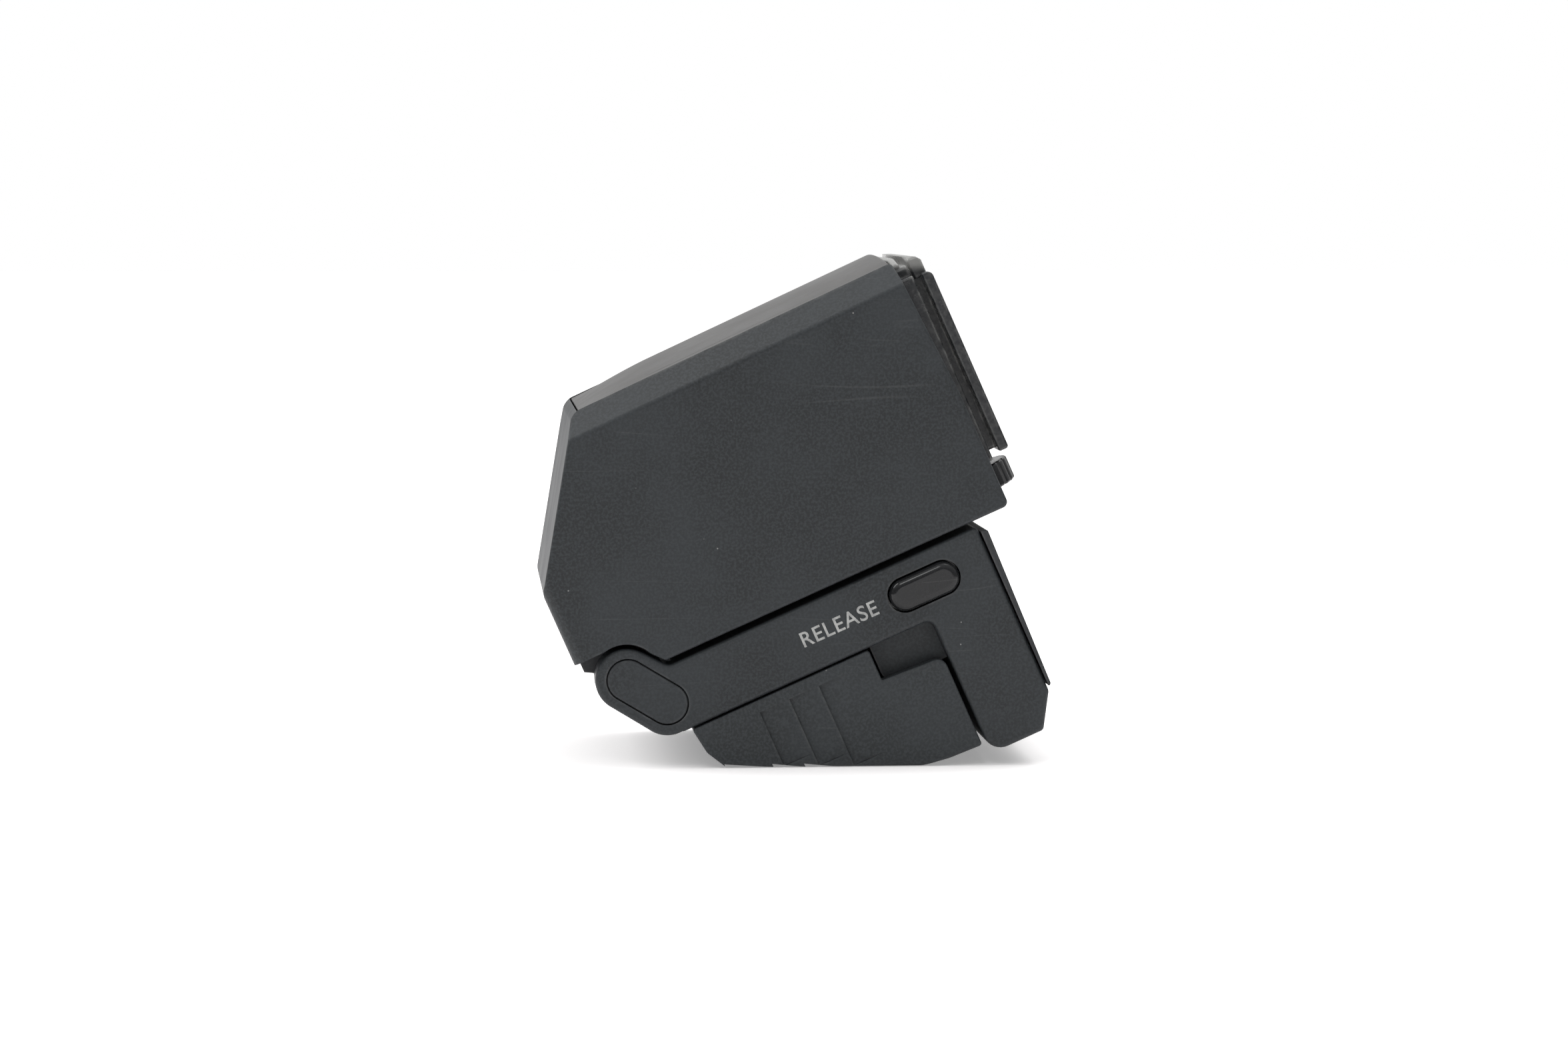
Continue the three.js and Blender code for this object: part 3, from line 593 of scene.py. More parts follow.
@dataclass(frozen=True)
class MouldedPlastic:
    """ABS and polycarbonate from a spark-eroded mould: a fine even grain that scatters highlights."""

    name: str
    colour: str
    worn: str
    dust: str = "8d8d8b"
    roughness: float = 0.5
    grain_mm: float = 0.26  # coarser than the real 0.08 mm grain, so that it shows
    grain_depth: float = 0.35
    dustiness: float = 0.10
    scratch: float = 0.05
    wear: float = 0.14
    film: float = 0.0  # share of the thin grey dust film
    film_colour: str = "77726c"
    lightened_above: float = 0.0  # height in millimetres above which the colour turns lighter, towards the dust colour, or zero for none

    def material(self) -> bpy.types.Material:
        """Builds the plastic with its grain, dust, hairline scratches and rubbed edges.

        Returns:
            The material.
        """
        made, tree, place = new_material(self.name)
        cloud = noise(tree, place, 9.0, 3.0)
        faded = stepped(tree, cloud, 0.35, 0.7, 0.0, 0.5)
        base = mixed(tree, faded, linear(self.colour), linear(self.worn))
        grain = noise(tree, place, self.grain_mm, 2.0)
        base = mixed(tree, stepped(tree, grain, 0.38, 0.66, 0.0, 0.65), base, linear(self.worn))
        patches = stepped(tree, noise(tree, place, 1.6), 0.35, 0.65)
        edge = sums(tree, "MULTIPLY", rubbed(tree, 0.45), patches)
        base = mixed(tree, sums(tree, "MULTIPLY", edge, self.wear), base, linear(self.dust))
        rising = hairlines(tree, place, (10, 50, 15), 5.5)
        falling = hairlines(tree, place, (0, -35, 40), 7.0)
        lines = sums(tree, "ADD", rising, falling)
        base = mixed(tree, sums(tree, "MULTIPLY", lines, self.scratch), base, linear(self.dust))
        film = sums(tree, "MULTIPLY", stepped(tree, noise(tree, place, 0.5, 6.0), 0.35, 0.7), self.film)
        base = mixed(tree, film, base, linear(self.film_colour))
        # Lighter above a set height: the top of the piece is mixed towards the dust colour.
        if self.lightened_above:
            height = add_node(tree, "SeparateXYZ", {0: place}).outputs[2]
            lightened_top = stepped(tree, height, self.lightened_above * MM, (self.lightened_above + 1.0) * MM, 0.0, 0.6)
            base = mixed(tree, lightened_top, base, linear(self.dust))
        fine = specks(tree, place, 1.3, 0.10, self.dustiness)
        coarse = specks(tree, place, 3.7, 0.17, self.dustiness)
        dots = sums(tree, "ADD", fine, coarse)
        base = mixed(tree, sums(tree, "MULTIPLY", dots, 0.7), base, linear(self.dust))
        gloss = stepped(tree, cloud, 0.3, 0.7, self.roughness - 0.04, self.roughness + 0.05)
        gloss = sums(tree, "ADD", gloss, sums(tree, "MULTIPLY", sums(tree, "ADD", dots, film), 0.3))
        bump = bumped(tree, grain, self.grain_depth, 0.02)
        return close_material(made, {
            "Base Color": base, "Roughness": gloss, "Normal": bump, "IOR": 1.53, "Specular IOR Level": 0.33,
        })


@dataclass(frozen=True)
class WorkedMetal:
    """Drawn, turned or plated metal: fine lines one way that stretch its highlights."""

    name: str
    colour: str
    tarnish: str
    roughness: float = 0.28
    line_mm: float = 0.08
    turn: tuple[float, float, float] = (0.0, 24.0, 0.0)

    def material(self) -> bpy.types.Material:
        """Builds the metal with its working lines and a breath of tarnish.

        Returns:
            The material.
        """
        made, tree, place = new_material(self.name)
        angles = [math.radians(angle) for angle in self.turn]
        laid = add_node(tree, "Mapping", {"Vector": place, "Rotation": angles, "Scale": (0.05, 1.0, 1.0)})
        lines = noise(tree, laid.outputs[0], self.line_mm, 2.0)
        cloud = noise(tree, place, 2.2, 3.0)
        dulled = stepped(tree, cloud, 0.42, 0.75, 0.0, 0.8)
        base = mixed(tree, dulled, linear(self.colour), linear(self.tarnish))
        gloss = stepped(tree, lines, 0.3, 0.7, self.roughness - 0.08, self.roughness + 0.12)
        bump = bumped(tree, lines, 0.25, 0.01)
        return close_material(made, {
            "Base Color": base, "Roughness": gloss, "Normal": bump, "Metallic": 1.0, "Anisotropic": 0.4,
        })


@dataclass(frozen=True)
class CoatedGlass:
    """Polished optical glass: a weak tinted reflection and a little dust that catches the light."""

    name: str
    tint: str
    dust: str = "c8c8c4"
    coating_nm: float = 420.0
    dustiness: float = 0.05

    def material(self) -> bpy.types.Material:
        """Builds the glass with its coating and specks of dust.

        Returns:
            The material.
        """
        made, tree, place = new_material(self.name)
        dots = specks(tree, place, 0.9, 0.05, self.dustiness)
        base = mixed(tree, dots, linear(self.tint), linear(self.dust))
        smear = stepped(tree, noise(tree, place, 3.0, 3.0), 0.4, 0.8, 0.0, 0.09)
        gloss = sums(tree, "ADD", smear, sums(tree, "MULTIPLY", dots, 0.6))
        return close_material(made, {
            "Base Color": base, "Roughness": gloss, "IOR": 1.52, "Transmission Weight": 0.92,
            "Thin Film Thickness": self.coating_nm, "Thin Film IOR": 1.38,
        })


@dataclass(frozen=True)
class CircuitBoard:
    """Epoxy glass board under solder mask: raised tracks under a glossy green skin."""

    name: str = "board_solder_mask"
    mask: str = "0f4a2c"
    track: str = "2c7a4b"
    pad: str = "c9a24a"
    pitch_mm: float = 0.9

    def material(self) -> bpy.types.Material:
        """Builds the mask with its tracks and gilt pads.

        Returns:
            The material.
        """
        made, tree, place = new_material(self.name)
        cells = add_node(tree, "TexVoronoi", {
            "Vector": place, "Scale": per_mm(self.pitch_mm), "Randomness": 0.35,
        }, distance="CHEBYCHEV", feature="F1")
        track = stepped(tree, cells.outputs["Distance"], 0.42, 0.47)
        pad = specks(tree, place, 1.4, 0.42, 0.22)
        base = mixed(tree, track, linear(self.mask), linear(self.track))
        base = mixed(tree, pad, base, linear(self.pad))
        bump = bumped(tree, track, 0.5, 0.03)
        return close_material(made, {
            "Base Color": base, "Roughness": stepped(tree, pad, 0, 1, 0.35, 0.22), "Metallic": pad,
            "Normal": bump, "IOR": 1.55,
        })


@dataclass(frozen=True)
class FlexibleCircuit:
    """Amber polyimide film over copper tracks: stripes along the ribbon under a satin skin."""

    name: str = "flex_polyimide"
    film: str = "a8601c"
    copper: str = "c98a45"
    pitch_mm: float = 0.5

    def material(self) -> bpy.types.Material:
        """Builds the film with its row of tracks.

        Returns:
            The material.
        """
        made, tree, place = new_material(self.name)
        bands = add_node(tree, "TexWave", {
            "Vector": place, "Scale": per_mm(self.pitch_mm) / 20.0, "Distortion": 0.0,
        }, bands_direction="Y").outputs["Fac"]
        track = stepped(tree, bands, 0.4, 0.6)
        stain = stepped(tree, noise(tree, place, 1.5), 0.3, 0.7, 0.0, 0.3)
        base = mixed(tree, track, linear(self.film), linear(self.copper))
        base = mixed(tree, stain, base, linear(self.film))
        bump = bumped(tree, track, 0.4, 0.02)
        return close_material(made, {
            "Base Color": base, "Roughness": stepped(tree, bands, 0, 1, 0.42, 0.32), "Normal": bump,
            "IOR": 1.6,
        })


@dataclass(frozen=True)
class ScreenInk:
    """Pad-printed ink: a thin matt layer that is a little uneven where it is worn."""

    name: str = "ink_grey"
    colour: str = "a9aaa8"
    worn: str = "8c8d8c"

    def material(self) -> bpy.types.Material:
        """Builds the ink with its thin patches.

        Returns:
            The material.
        """
        made, tree, place = new_material(self.name)
        thin = stepped(tree, noise(tree, place, 0.5, 3.0), 0.35, 0.75)
        base = mixed(tree, thin, linear(self.colour), linear(self.worn))
        return close_material(made, {
            "Base Color": base, "Roughness": stepped(tree, thin, 0, 1, 0.5, 0.65),
        })


class Finish(Enum):
    """The finishes on this unit, each with the record's slot that it belongs to."""

    HOUSING = ("housing_black", MouldedPlastic("housing_grained_abs", "1d2022", "313538"))
    COVER = ("housing_black", MouldedPlastic("shoe_cover_grained_abs", "1f2325", "34383b", wear=0.08))
    TOP = ("top_cover_grey", MouldedPlastic(
        "top_cover_satin_paint", "2e2e2f", "3a3938", roughness=0.38, grain_depth=0.3, dustiness=0.3,
        wear=0.3, film=0.14))
    SATIN = ("satin_black", MouldedPlastic("satin_moulded_abs", "222426", "2b2d30", roughness=0.4))
    GLOSS = ("gloss_black", MouldedPlastic(
        "gloss_moulded_abs", "0f1011", "1b1c1e", roughness=0.15, grain_depth=0.08, dustiness=0.08))
    EYEPIECE = ("gloss_black", MouldedPlastic(
        "eyepiece_dusty_abs", "181a1c", "25272a", dust="a5a5a2", roughness=0.22, grain_depth=0.1,
        dustiness=0.16, wear=0.6, film=0.1, film_colour="8b8a87", lightened_above=47.3))
    INNER = ("inner_black", MouldedPlastic("inner_matt_polycarbonate", "141516", "1c1d1e", roughness=0.68))
    GLASS = ("optical_glass", CoatedGlass("lens_crown_glass", "eef2f2"))
    WINDOW = ("dark_window", CoatedGlass("sensor_smoked_acrylic", "2a1f26", coating_nm=0.0))
    BOARD = ("board_green", CircuitBoard())
    FLEX = ("flex_amber", FlexibleCircuit())
    DIFFUSER = ("diffuser_white", MouldedPlastic(
        "diffuser_opal_acrylic", "d9dad6", "e6e6e2", dust="bdbdb8", roughness=0.42, wear=0.0, scratch=0.05))
    BRASS = ("contact_brass", WorkedMetal("contact_gilt_brass", "d9b25a", "b98f45", roughness=0.22))
    STEEL = ("steel", WorkedMetal("foot_stainless_steel", "b9bcc0", "9a9da2"))
    INK = ("housing_black", ScreenInk())

    @property
    def slot(self) -> str:
        """The record's material slot."""
        return self.value[0]

    def material(self) -> bpy.types.Material:
        """The finish's material, built once."""
        known = bpy.data.materials.get(self.value[1].name)
        return known if known else self.value[1].material()


def dress(piece: bpy.types.Object, finish: Finish) -> None:
    """Gives a piece its finish on every material slot.

    Args:
        piece: The piece.
        finish: Its finish.
    """
    if not piece.material_slots:
        piece.data.materials.append(finish.material())
    for held in piece.material_slots:
        held.material = finish.material()


# ------------------------------------------------------------------ seating pieces in the frame


def shade(piece: bpy.types.Object) -> None:
    """Keeps creases sharp and the broad faces flat in the light.

    Args:
        piece: The piece.
    """
    piece.data.shade_smooth()
    piece.data.set_sharp_from_angle(angle=CREASE)
    even = piece.modifiers.new("even_light", "WEIGHTED_NORMAL")
    even.keep_sharp = True
    even.weight = 80


def seated(stock: Stock, name: str, finish: Finish, *nodes: str) -> bpy.types.Object:
    """Seats a finished solid in the frame, on the body of the nodes it stands for.

    Args:
        stock: The solid, in the unit's own millimetres.
        name: The piece's name.
        finish: Its finish.
        *nodes: The CAD nodes it stands for.

    Returns:
        The piece.
    """
    bmesh.ops.transform(stock.mesh, matrix=SEAT, verts=stock.mesh.verts[:])
    piece = as_object(name, stock.mesh)
    shade(piece)
    dress(piece, finish)
    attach(piece, frame["nodes"][nodes[0]]["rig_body"])
    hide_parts(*nodes)
    LOG.info("%s: %d faces, for %s", name, len(piece.data.polygons), ", ".join(nodes))
    return piece


def refined(node: str, finish: Finish, rounding: float) -> bpy.types.Object:
    """Makes a finer copy of a CAD node: merged, with its flat faces joined and its creases rounded.

    Args:
        node: The CAD node.
        finish: The piece's finish.
        rounding: The rounding of its creases, in millimetres.

    Returns:
        The piece.
    """
    mesh = bmesh.new()
    mesh.from_mesh(frame["nodes"][node].data)
    bmesh.ops.transform(mesh, matrix=SEAT.inverted(), verts=mesh.verts[:])
    stock = Stock(mesh).settle().rounded(rounding, clamp=True)
    return seated(stock, node + "_piece", finish, node)


# ------------------------------------------------------------------ base


@dataclass
class Base:
    """The half that sits on the camera: an arm under the head, a leg behind the shoe and two knuckles."""

    seam: float = 0.15
    wall: float = 1.35
    arm_top: float = -0.4
    arm_bottom: float = -6.8
    leg_front: float = 29.05
    leg_bottom: float = -21.07
    rear: float = 36.6
    knuckle: float = 3.0
    lobe: Span = (2.6, -3.75)
    knuckle_inner: float = 11.6
    cap_ends: tuple[Span, Span] = ((0.1, -0.05), (2.62, -3.65))
    cap_radius: float = 1.95
    cap_depth: float = 0.7
    cap_gap: float = 0.13
    button_ends: tuple[Span, Span] = ((27.68, -3.53), (31.62, -3.53))
    button_radius: float = 1.58
    button_proud: float = 0.75
    button_rounding: float = 0.72
    button_gap: float = 0.16
    word_place: Span = (16.8, -4.2)
    word_size: Span = (7.9, 1.5)
    screw_places: tuple[Span, ...] = ((11.6, -4.2), (11.6, 4.2), (18.8, -4.2), (18.8, 4.2))
    rim_rounding: float = 0.46

    @property
    def half(self) -> float:
        """Half the width over the outer side faces."""
        return unit_box("base_housing")[1].y

    def housing(self) -> None:
        """The moulded arm, leg and knuckles, hollow from behind."""
        half = self.half
        frame_line = [
            (self.rear, self.arm_top, 0.5), (4.2, self.arm_top, 0.9), (2.2, 2.1, 0), (*self.lobe, 0),
            (self.lobe[0], self.arm_bottom, 0), (self.leg_front, self.arm_bottom, 0.9),
            (self.leg_front, self.leg_bottom, 1.8), (34.6, self.leg_bottom, 0.5), (self.rear, -17.8, 0.6),
        ]
        body = Stock.outline(frame_line, (-half, half), steps=8)
        body.rounded(self.rim_rounding, lambda edge: on_side(edge, half))
        knuckles = Stock.pill((0, 0), self.lobe, self.knuckle, (-half, half), steps=ROUND_SIDES)
        body.join(knuckles.rounded(self.rim_rounding, lambda edge: on_side(edge, half)))
        corner = [(22.6, self.arm_bottom + 0.5, 0), (22.6, -11.0, 1.2), (self.leg_front + 0.5, -11.0, 0),
                  (self.leg_front + 0.5, self.arm_bottom + 0.5, 0)]
        body.join(Stock.outline(corner, (-12.9, 12.9)))
        inner = half - self.wall
        hollow = [
            (38, self.arm_top - self.wall, 0), (5.95, self.arm_top - self.wall, 0),
            (5.95, self.arm_bottom + self.wall, 0), (30.4, self.arm_bottom + self.wall, 0),
            (30.4, self.leg_bottom + self.wall, 0.5), (33.9, self.leg_bottom + self.wall, 0),
            (35.2, -17.6, 0), (38, -17.6, 0),
        ]
        body.cut(
            # Between the knuckles, the hollow, the ribbon's slot, the connector's mouth, the lock pin's
            # hole, the button's hole and the hinge pin's bore.
            Stock.block((-6, 4.6), (-self.knuckle_inner, self.knuckle_inner), (-9, 5)),
            Stock.outline(hollow, (-inner, inner)),
            Stock.block((4, 6.5), (-5.4, 5.4), (-3.3, -2.0)),
            Stock.block((28, 31.5), (-5.8, 5.8), (-17.5, -13.7)),
            Stock.rod((8.6, 0), 1.25, (-7.5, -5), View.PLAN),
            Stock.pill(*self.button_ends, self.button_radius + self.button_gap, (-16, -13)),
            Stock.rod((0, 0), 1.26, (-14.4, 14.4), View.SIDE),
        )
        for span in both_sides(half - self.cap_depth, half + 1):
            body.cut(Stock.pill(*self.cap_ends, self.cap_radius + self.cap_gap, span, steps=ROUND_SIDES))
        for place in self.screw_places:
            body.cut(Stock.rod(place, 0.75, (-7.6, -5.2), View.PLAN, 20))
        seated(body, "base_shell", Finish.HOUSING, "base_housing")

    def rear_cover(self) -> None:
        """The satin plate that closes the leg and the arm from behind."""
        low, high = unit_box("base_rear_cover")
        face = self.rear + self.seam
        plate = Stock.outline(
            [(face, -1.0, 0), (face, -17.3, 0), (high.x - 0.4, -17.3, 0.2), (high.x, -1.0, 0.3)],
            (low.y, high.y),
        ).rounded(0.16, lambda edge: middle(edge).x > face + 0.2)
        plate.join(Stock.block((35.6, face + 0.1), (-13.4, 13.4), (-16.9, -2.2)))
        plate.cut(Stock.block((35.0, 36.4), (-12.2, 12.2), (-15.8, -3.3)))
        seated(plate, "base_rear_plate", Finish.SATIN, "base_rear_cover")

    def caps(self) -> None:
        """The flush caps over both ends of the hinge pin."""
        for side, span in zip(("left", "right"), both_sides(self.half - 0.55, self.half + 0.05)):
            cap = Stock.pill(*self.cap_ends, self.cap_radius, span, steps=ROUND_SIDES)
            cap.rounded(EDGE_BREAK)
            seated(cap, f"hinge_cap_{side}_disc", Finish.HOUSING, f"hinge_cap_{side}")

    def button(self) -> None:
        """The glossy release button: a raised pill with a wide sloping edge, its stem and its wedge."""
        face = -self.half - self.button_proud
        head = Stock.pill(*self.button_ends, self.button_radius, (face, -13.2), steps=ROUND_SIDES)
        head.rounded(self.button_rounding, lambda edge: middle(edge).y < face + 0.1)
        a, b = self.button_ends
        head.join(
            Stock.pill((a[0] - 0.5, a[1]), (b[0] + 0.5, b[1]), self.button_radius, (-13.5, -12.9)),
            Stock.rod(((a[0] + b[0]) / 2, a[1]), 0.8, (-13.2, -10.6), View.SIDE),
            Stock.outline(
                [(25.7, -13.1, 0), (27.3, -13.1, 0), (27.3, -9.9, 0), (25.7, -11.5, 0)], (-5.05, -4.45),
                View.PLAN),
        )
        seated(head, "release_button_cap", Finish.GLOSS, "release_button")

    def word(self) -> None:
        """The printed word beside the button, as a thin layer of ink."""
        drawn = bpy.data.curves.new("print", "FONT")
        drawn.body = "RELEASE"
        drawn.extrude = 0.02
        drawn.offset = 0.008
        drawn.space_character = 1.08
        holder = bpy.data.objects.new("print", drawn)
        bpy.context.scene.collection.objects.link(holder)
        graph = bpy.context.evaluated_depsgraph_get()
        flat = bpy.data.meshes.new_from_object(holder.evaluated_get(graph))
        bpy.data.objects.remove(holder)
        corners = [vertex.co for vertex in flat.vertices]
        wide = max(co.x for co in corners) - min(co.x for co in corners)
        tall = max(co.y for co in corners) - min(co.y for co in corners)
        fitted = Matrix.Diagonal((self.word_size[0] / wide, self.word_size[1] / tall, 1.0, 1.0))
        shift = Matrix.Translation((-min(co.x for co in corners), -min(co.y for co in corners), 0))
        facing = Matrix.Rotation(math.pi / 2, 4, "X")
        place = Matrix.Translation((self.word_place[0], -self.half, self.word_place[1]))
        flat.transform(SEAT @ place @ facing @ fitted @ shift)
        piece = bpy.data.objects.new("release_word", flat)
        bpy.context.scene.collection.objects.link(piece)
        dress(piece, Finish.INK)
        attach(piece, "base")
        LOG.info("release_word: %d faces", len(flat.polygons))

    def build(self) -> None:
        """Builds the base's pieces in order."""
        self.housing()
        self.rear_cover()
        self.caps()
        self.button()
        self.word()
        refined("shoe_foot", Finish.STEEL, 0.12)
        refined("connector_shell", Finish.STEEL, 0.06)
        refined("connector_tongue", Finish.GLOSS, 0.06)
        refined("connector_contacts", Finish.BRASS, 0.03)
        refined("lock_pin", Finish.STEEL, 0.1)
        for number in range(1, 5):
            refined(f"foot_screw_{number}", Finish.STEEL, 0.05)


# ------------------------------------------------------------------ shoe cover


@dataclass
class ShoeCover:
    """The slip-on cover of the shoe foot, with a row of shallow saw-tooth ribs for the fingers."""

    top: float = -6.95
    rest_point: Span = (12.2, -14.8)
    slope: float = 24.0
    teeth_marks: tuple[float, ...] = (5.2, 9.4, 12.2, 15.0)
    rib_step: float = 0.4
    overcut: float = 0.4  # how far a wedge reaches past the face it works on
    side_marks: tuple[float, ...] = (10.3, 13.4, 16.5, 19.6)
    side_step: float = 0.36
    side_riser: float = 0.03
    skin: float = 1.5
    belly: float = 0.85
    rim_rounding: float = 0.2

    @property
    def half(self) -> float:
        """Half the cover's width."""
        return unit_box("shoe_cover")[1].y

    def rest(self, x: float) -> float:
        """The height of the rest facet, seen from the side."""
        return self.rest_point[1] - math.tan(math.radians(self.slope)) * (x - self.rest_point[0])

    def outline(self) -> list[Corner]:
        """The cover's side view, before its teeth are cut.

        Returns:
            Its corners.
        """
        return [
            (3.75, self.top, 0.3), (4.15, -9.6, 1.0), (5.3, self.rest(5.3), 0.5),
            (22.4, self.rest(22.4), 2.5), (25.2, -19.75, 2.0),
            (28.6, -19.9, 0.3), (28.6, -10.5, 1.0), (22.3, -10.15, 0.2), (22.3, self.top, 0.3),
        ]

    def belly_tool(self) -> Stock:
        """A long bar parallel to the rest facet, whose round lower corners shape the cover's belly.

        Returns:
            The bar.
        """
        low, half = self.rest_point[1] - HAIR, self.half + HAIR
        corners = [(-half, 20, 0), (-half, low, self.belly), (half, low, self.belly), (half, 20, 0)]
        bar = Stock.outline(corners, (-BEYOND, BEYOND), View.REAR, steps=8)
        return bar.turned(-self.slope, Vector((self.rest_point[0], 0, self.rest_point[1])))

    def teeth(self) -> list[Stock]:
        """Thin wedges that leave one saw-tooth after another across the underside.

        Returns:
            The wedges.
        """
        made = []
        for start, tip in pairwise(self.teeth_marks):
            wedge = [(start, self.rest(start) + self.rib_step, 0), (tip, self.rest(tip), 0),
                     (tip, self.rest(tip) - self.overcut, 0), (start, self.rest(start) - self.overcut, 0)]
            made.append(Stock.outline(wedge, (-self.half - 1, self.half + 1)))
        return made

    def side_ramps(self) -> list[Stock]:
        """Thin wedges that leave one saw-tooth rib after another on both sides.

        Returns:
            The wedges.
        """
        made = []
        for start, tip in pairwise(self.side_marks):
            low = self.rest(tip) + 1.5
            for sign in (-1, 1):
                face = sign * (self.half + self.overcut)
                deep = sign * (self.half - self.side_step)
                foot = start + self.side_riser
                ramp = [(foot, face, 0), (foot, deep, 0), (tip, sign * self.half, 0), (tip, face, 0)]
                made.append(Stock.outline(ramp, (low, -8.1), View.PLAN))
        return made

    def build(self) -> None:
        """Cuts the cover from its side view, rounds its belly and hollows it for the foot."""
        cover = Stock.outline(self.outline(), (-self.half, self.half), steps=8)
        cover.rounded(self.rim_rounding, lambda edge: on_side(edge, self.half))
        cover.keep(self.belly_tool())
        cover.cut(*self.side_ramps(), *self.teeth())
        hollow = [
            (5.3, -8.15, 0), (5.3, -10.5, 0), (22.4, self.rest(22.4) + 1.6, 0), (25.4, -18.2, 0),
            (30, -18.2, 0), (30, -8, 0), (22.5, -8.15, 0),
        ]
        inner = self.half - self.skin
        throat = Stock.block((5.3, 24), (-6.55, 6.55), (-8.4, -6))
        cover.cut(Stock.outline(hollow, (-inner, inner)), throat)
        seated(cover, "shoe_cover_shell", Finish.COVER, "shoe_cover")


# ------------------------------------------------------------------ head


@dataclass
class Head:
    """The tilting half: a hollow housing with sloping shoulders, its top cover and the optics inside."""

    wall: float = 1.35
    seam: float = 0.15
    front: float = -3.95
    rear: float = 40.3
    floor: float = 0.2
    top_front: float = 25.35
    top_rear: float = 25.95
    top_start: float = 5.7
    shoulder: float = 2.2
    cover_thick: float = 1.1
    crown: float = 0.85
    roll_length: float = 9.0
    roll_drop: float = 0.1
    block_half: float = 10.9
    nose_radius: float = 1.15
    rim_rounding: float = 0.3
    screw_places: tuple[Span, ...] = ((7.5, -11.4), (7.5, 11.4), (30.5, -11.4), (36.2, 11.4))

    @property
    def half(self) -> float:
        """Half the width over the outer side faces."""
        return unit_box("head_housing")[1].y

    @property
    def slope(self) -> float:
        """How far the top rises towards the eyepiece, in degrees."""
        return math.degrees(math.atan((self.top_rear - self.top_front) / (self.rear - self.top_start)))

    @property
    def top_corner(self) -> Vector:
        """The front end of the top face, which the top's pieces turn about."""
        return Vector((self.top_start, 0, self.top_front))

    def outline(self, inset: float = 0.0) -> list[Corner]:
        """The head's side view, or one set in by the wall.

        Args:
            inset: How far it is set in.

        Returns:
            Its corners.
        """
        return [
            (self.front + inset, self.floor + inset, 0.4), (self.rear - inset, self.floor + inset, 0.6),
            (self.rear - inset, 12, 0), (39.45 - inset, self.top_rear - inset, 0.45),
            (self.top_start + inset * 0.7, self.top_front - inset, 1.6),
            (self.front + inset, 10.7, 1.6),
        ]

    def shoulders(self, inset: float = 0.0) -> Stock:
        """A long bar with the head's rear view: square below, sloping shoulders above.

        Args:
            inset: How far it is set in.

        Returns:
            The bar.
        """
        half = self.half - inset
        low = self.top_front - self.shoulder - inset * 0.4
        past = self.shoulder + 2
        corners = [(-half, -10, 0), (half, -10, 0), (half, low, 0.7), (half - past, low + past, 0),
                   (-half + past, low + past, 0), (-half, low, 0.7)]
        return Stock.outline(corners, (-BEYOND, BEYOND), View.REAR).turned(self.slope, self.top_corner)

    def nose(self) -> Stock:
        """A tall bar whose front corners give the head its rounded front edges.

        Returns:
            The bar.
        """
        half, front = self.half + HAIR, self.front - HAIR
        corners = [(front, -half, self.nose_radius), (BEYOND, -half, 0), (BEYOND, half, 0),
                   (front, half, self.nose_radius)]
        return Stock.outline(corners, (-5, 40), View.PLAN, steps=10)

    def clearance(self) -> list[Stock]:
        """The room that the base's knuckles and the hinge block need at the head's lower front corner.

        Returns:
            The solids to cut away.
        """
        corner = [(-6, -2, 0), (-6, 3.25, 0), (-0.9, 3.35, 0), (2.2, 2.65, 0), (3.6, 0.9, 0),
                  (4.6, -0.2, 0), (4.6, -2, 0)]
        made = []
        for span in both_sides(self.block_half - 0.1, self.half + 1):
            made.append(Stock.outline(corner, span))
            made.append(Stock.rod((0, 0), 3.45, span, View.SIDE, ROUND_SIDES))
        room = [(-6, -1, 0), (-6, 3.3, 0), (-3.6, 3.3, 0), (-3.6, 4.2, 0), (3.4, 4.2, 0), (3.4, -1, 0)]
        made.append(Stock.outline(room, (-self.block_half - 0.05, self.block_half + 0.05)))
        return made

    def housing(self) -> None:
        """The moulded shell, open behind for the eyepiece and above for the top cover."""
        half = self.half
        cover_half = half - self.shoulder - 0.2
        shell = Stock.outline(self.outline(), (-half, half), steps=8)
        shell.rounded(self.rim_rounding, lambda edge: on_side(edge, half))
        shell.keep(self.shoulders(), self.nose())
        inner = half - self.wall
        core = Stock.outline(self.outline(self.wall), (-inner, inner)).keep(self.shoulders(self.wall))
        seat_room = Stock.block(
            (self.top_start + 0.5, 42), (-cover_half - self.seam, cover_half + self.seam),
            (self.top_front - self.cover_thick - self.seam, self.top_front + 5),
        ).turned(self.slope, self.top_corner)
        opening = Stock.block(
            (self.top_start + 1.6, 42), (-cover_half + 1, cover_half - 1),
            (self.top_front - 4, self.top_front + 5),
        ).turned(self.slope, self.top_corner)
        shell.cut(core, Stock.block((38, 42), (-13.35, 13.35), (1.7, 24.2)), seat_room, opening)
        shell.cut(*self.clearance())
        shell.cut(Stock.block((37.5, 42), (-13.25, -4.5), (1.6, 4.45)))
        for place in self.screw_places:
            shell.cut(
                Stock.rod(place, 1.25, (-1, self.floor + 0.75), View.PLAN, 32),
                Stock.rod(place, 0.6, (-1, 3), View.PLAN, 20),
            )
        seated(shell, "head_shell", Finish.HOUSING, "head_housing")

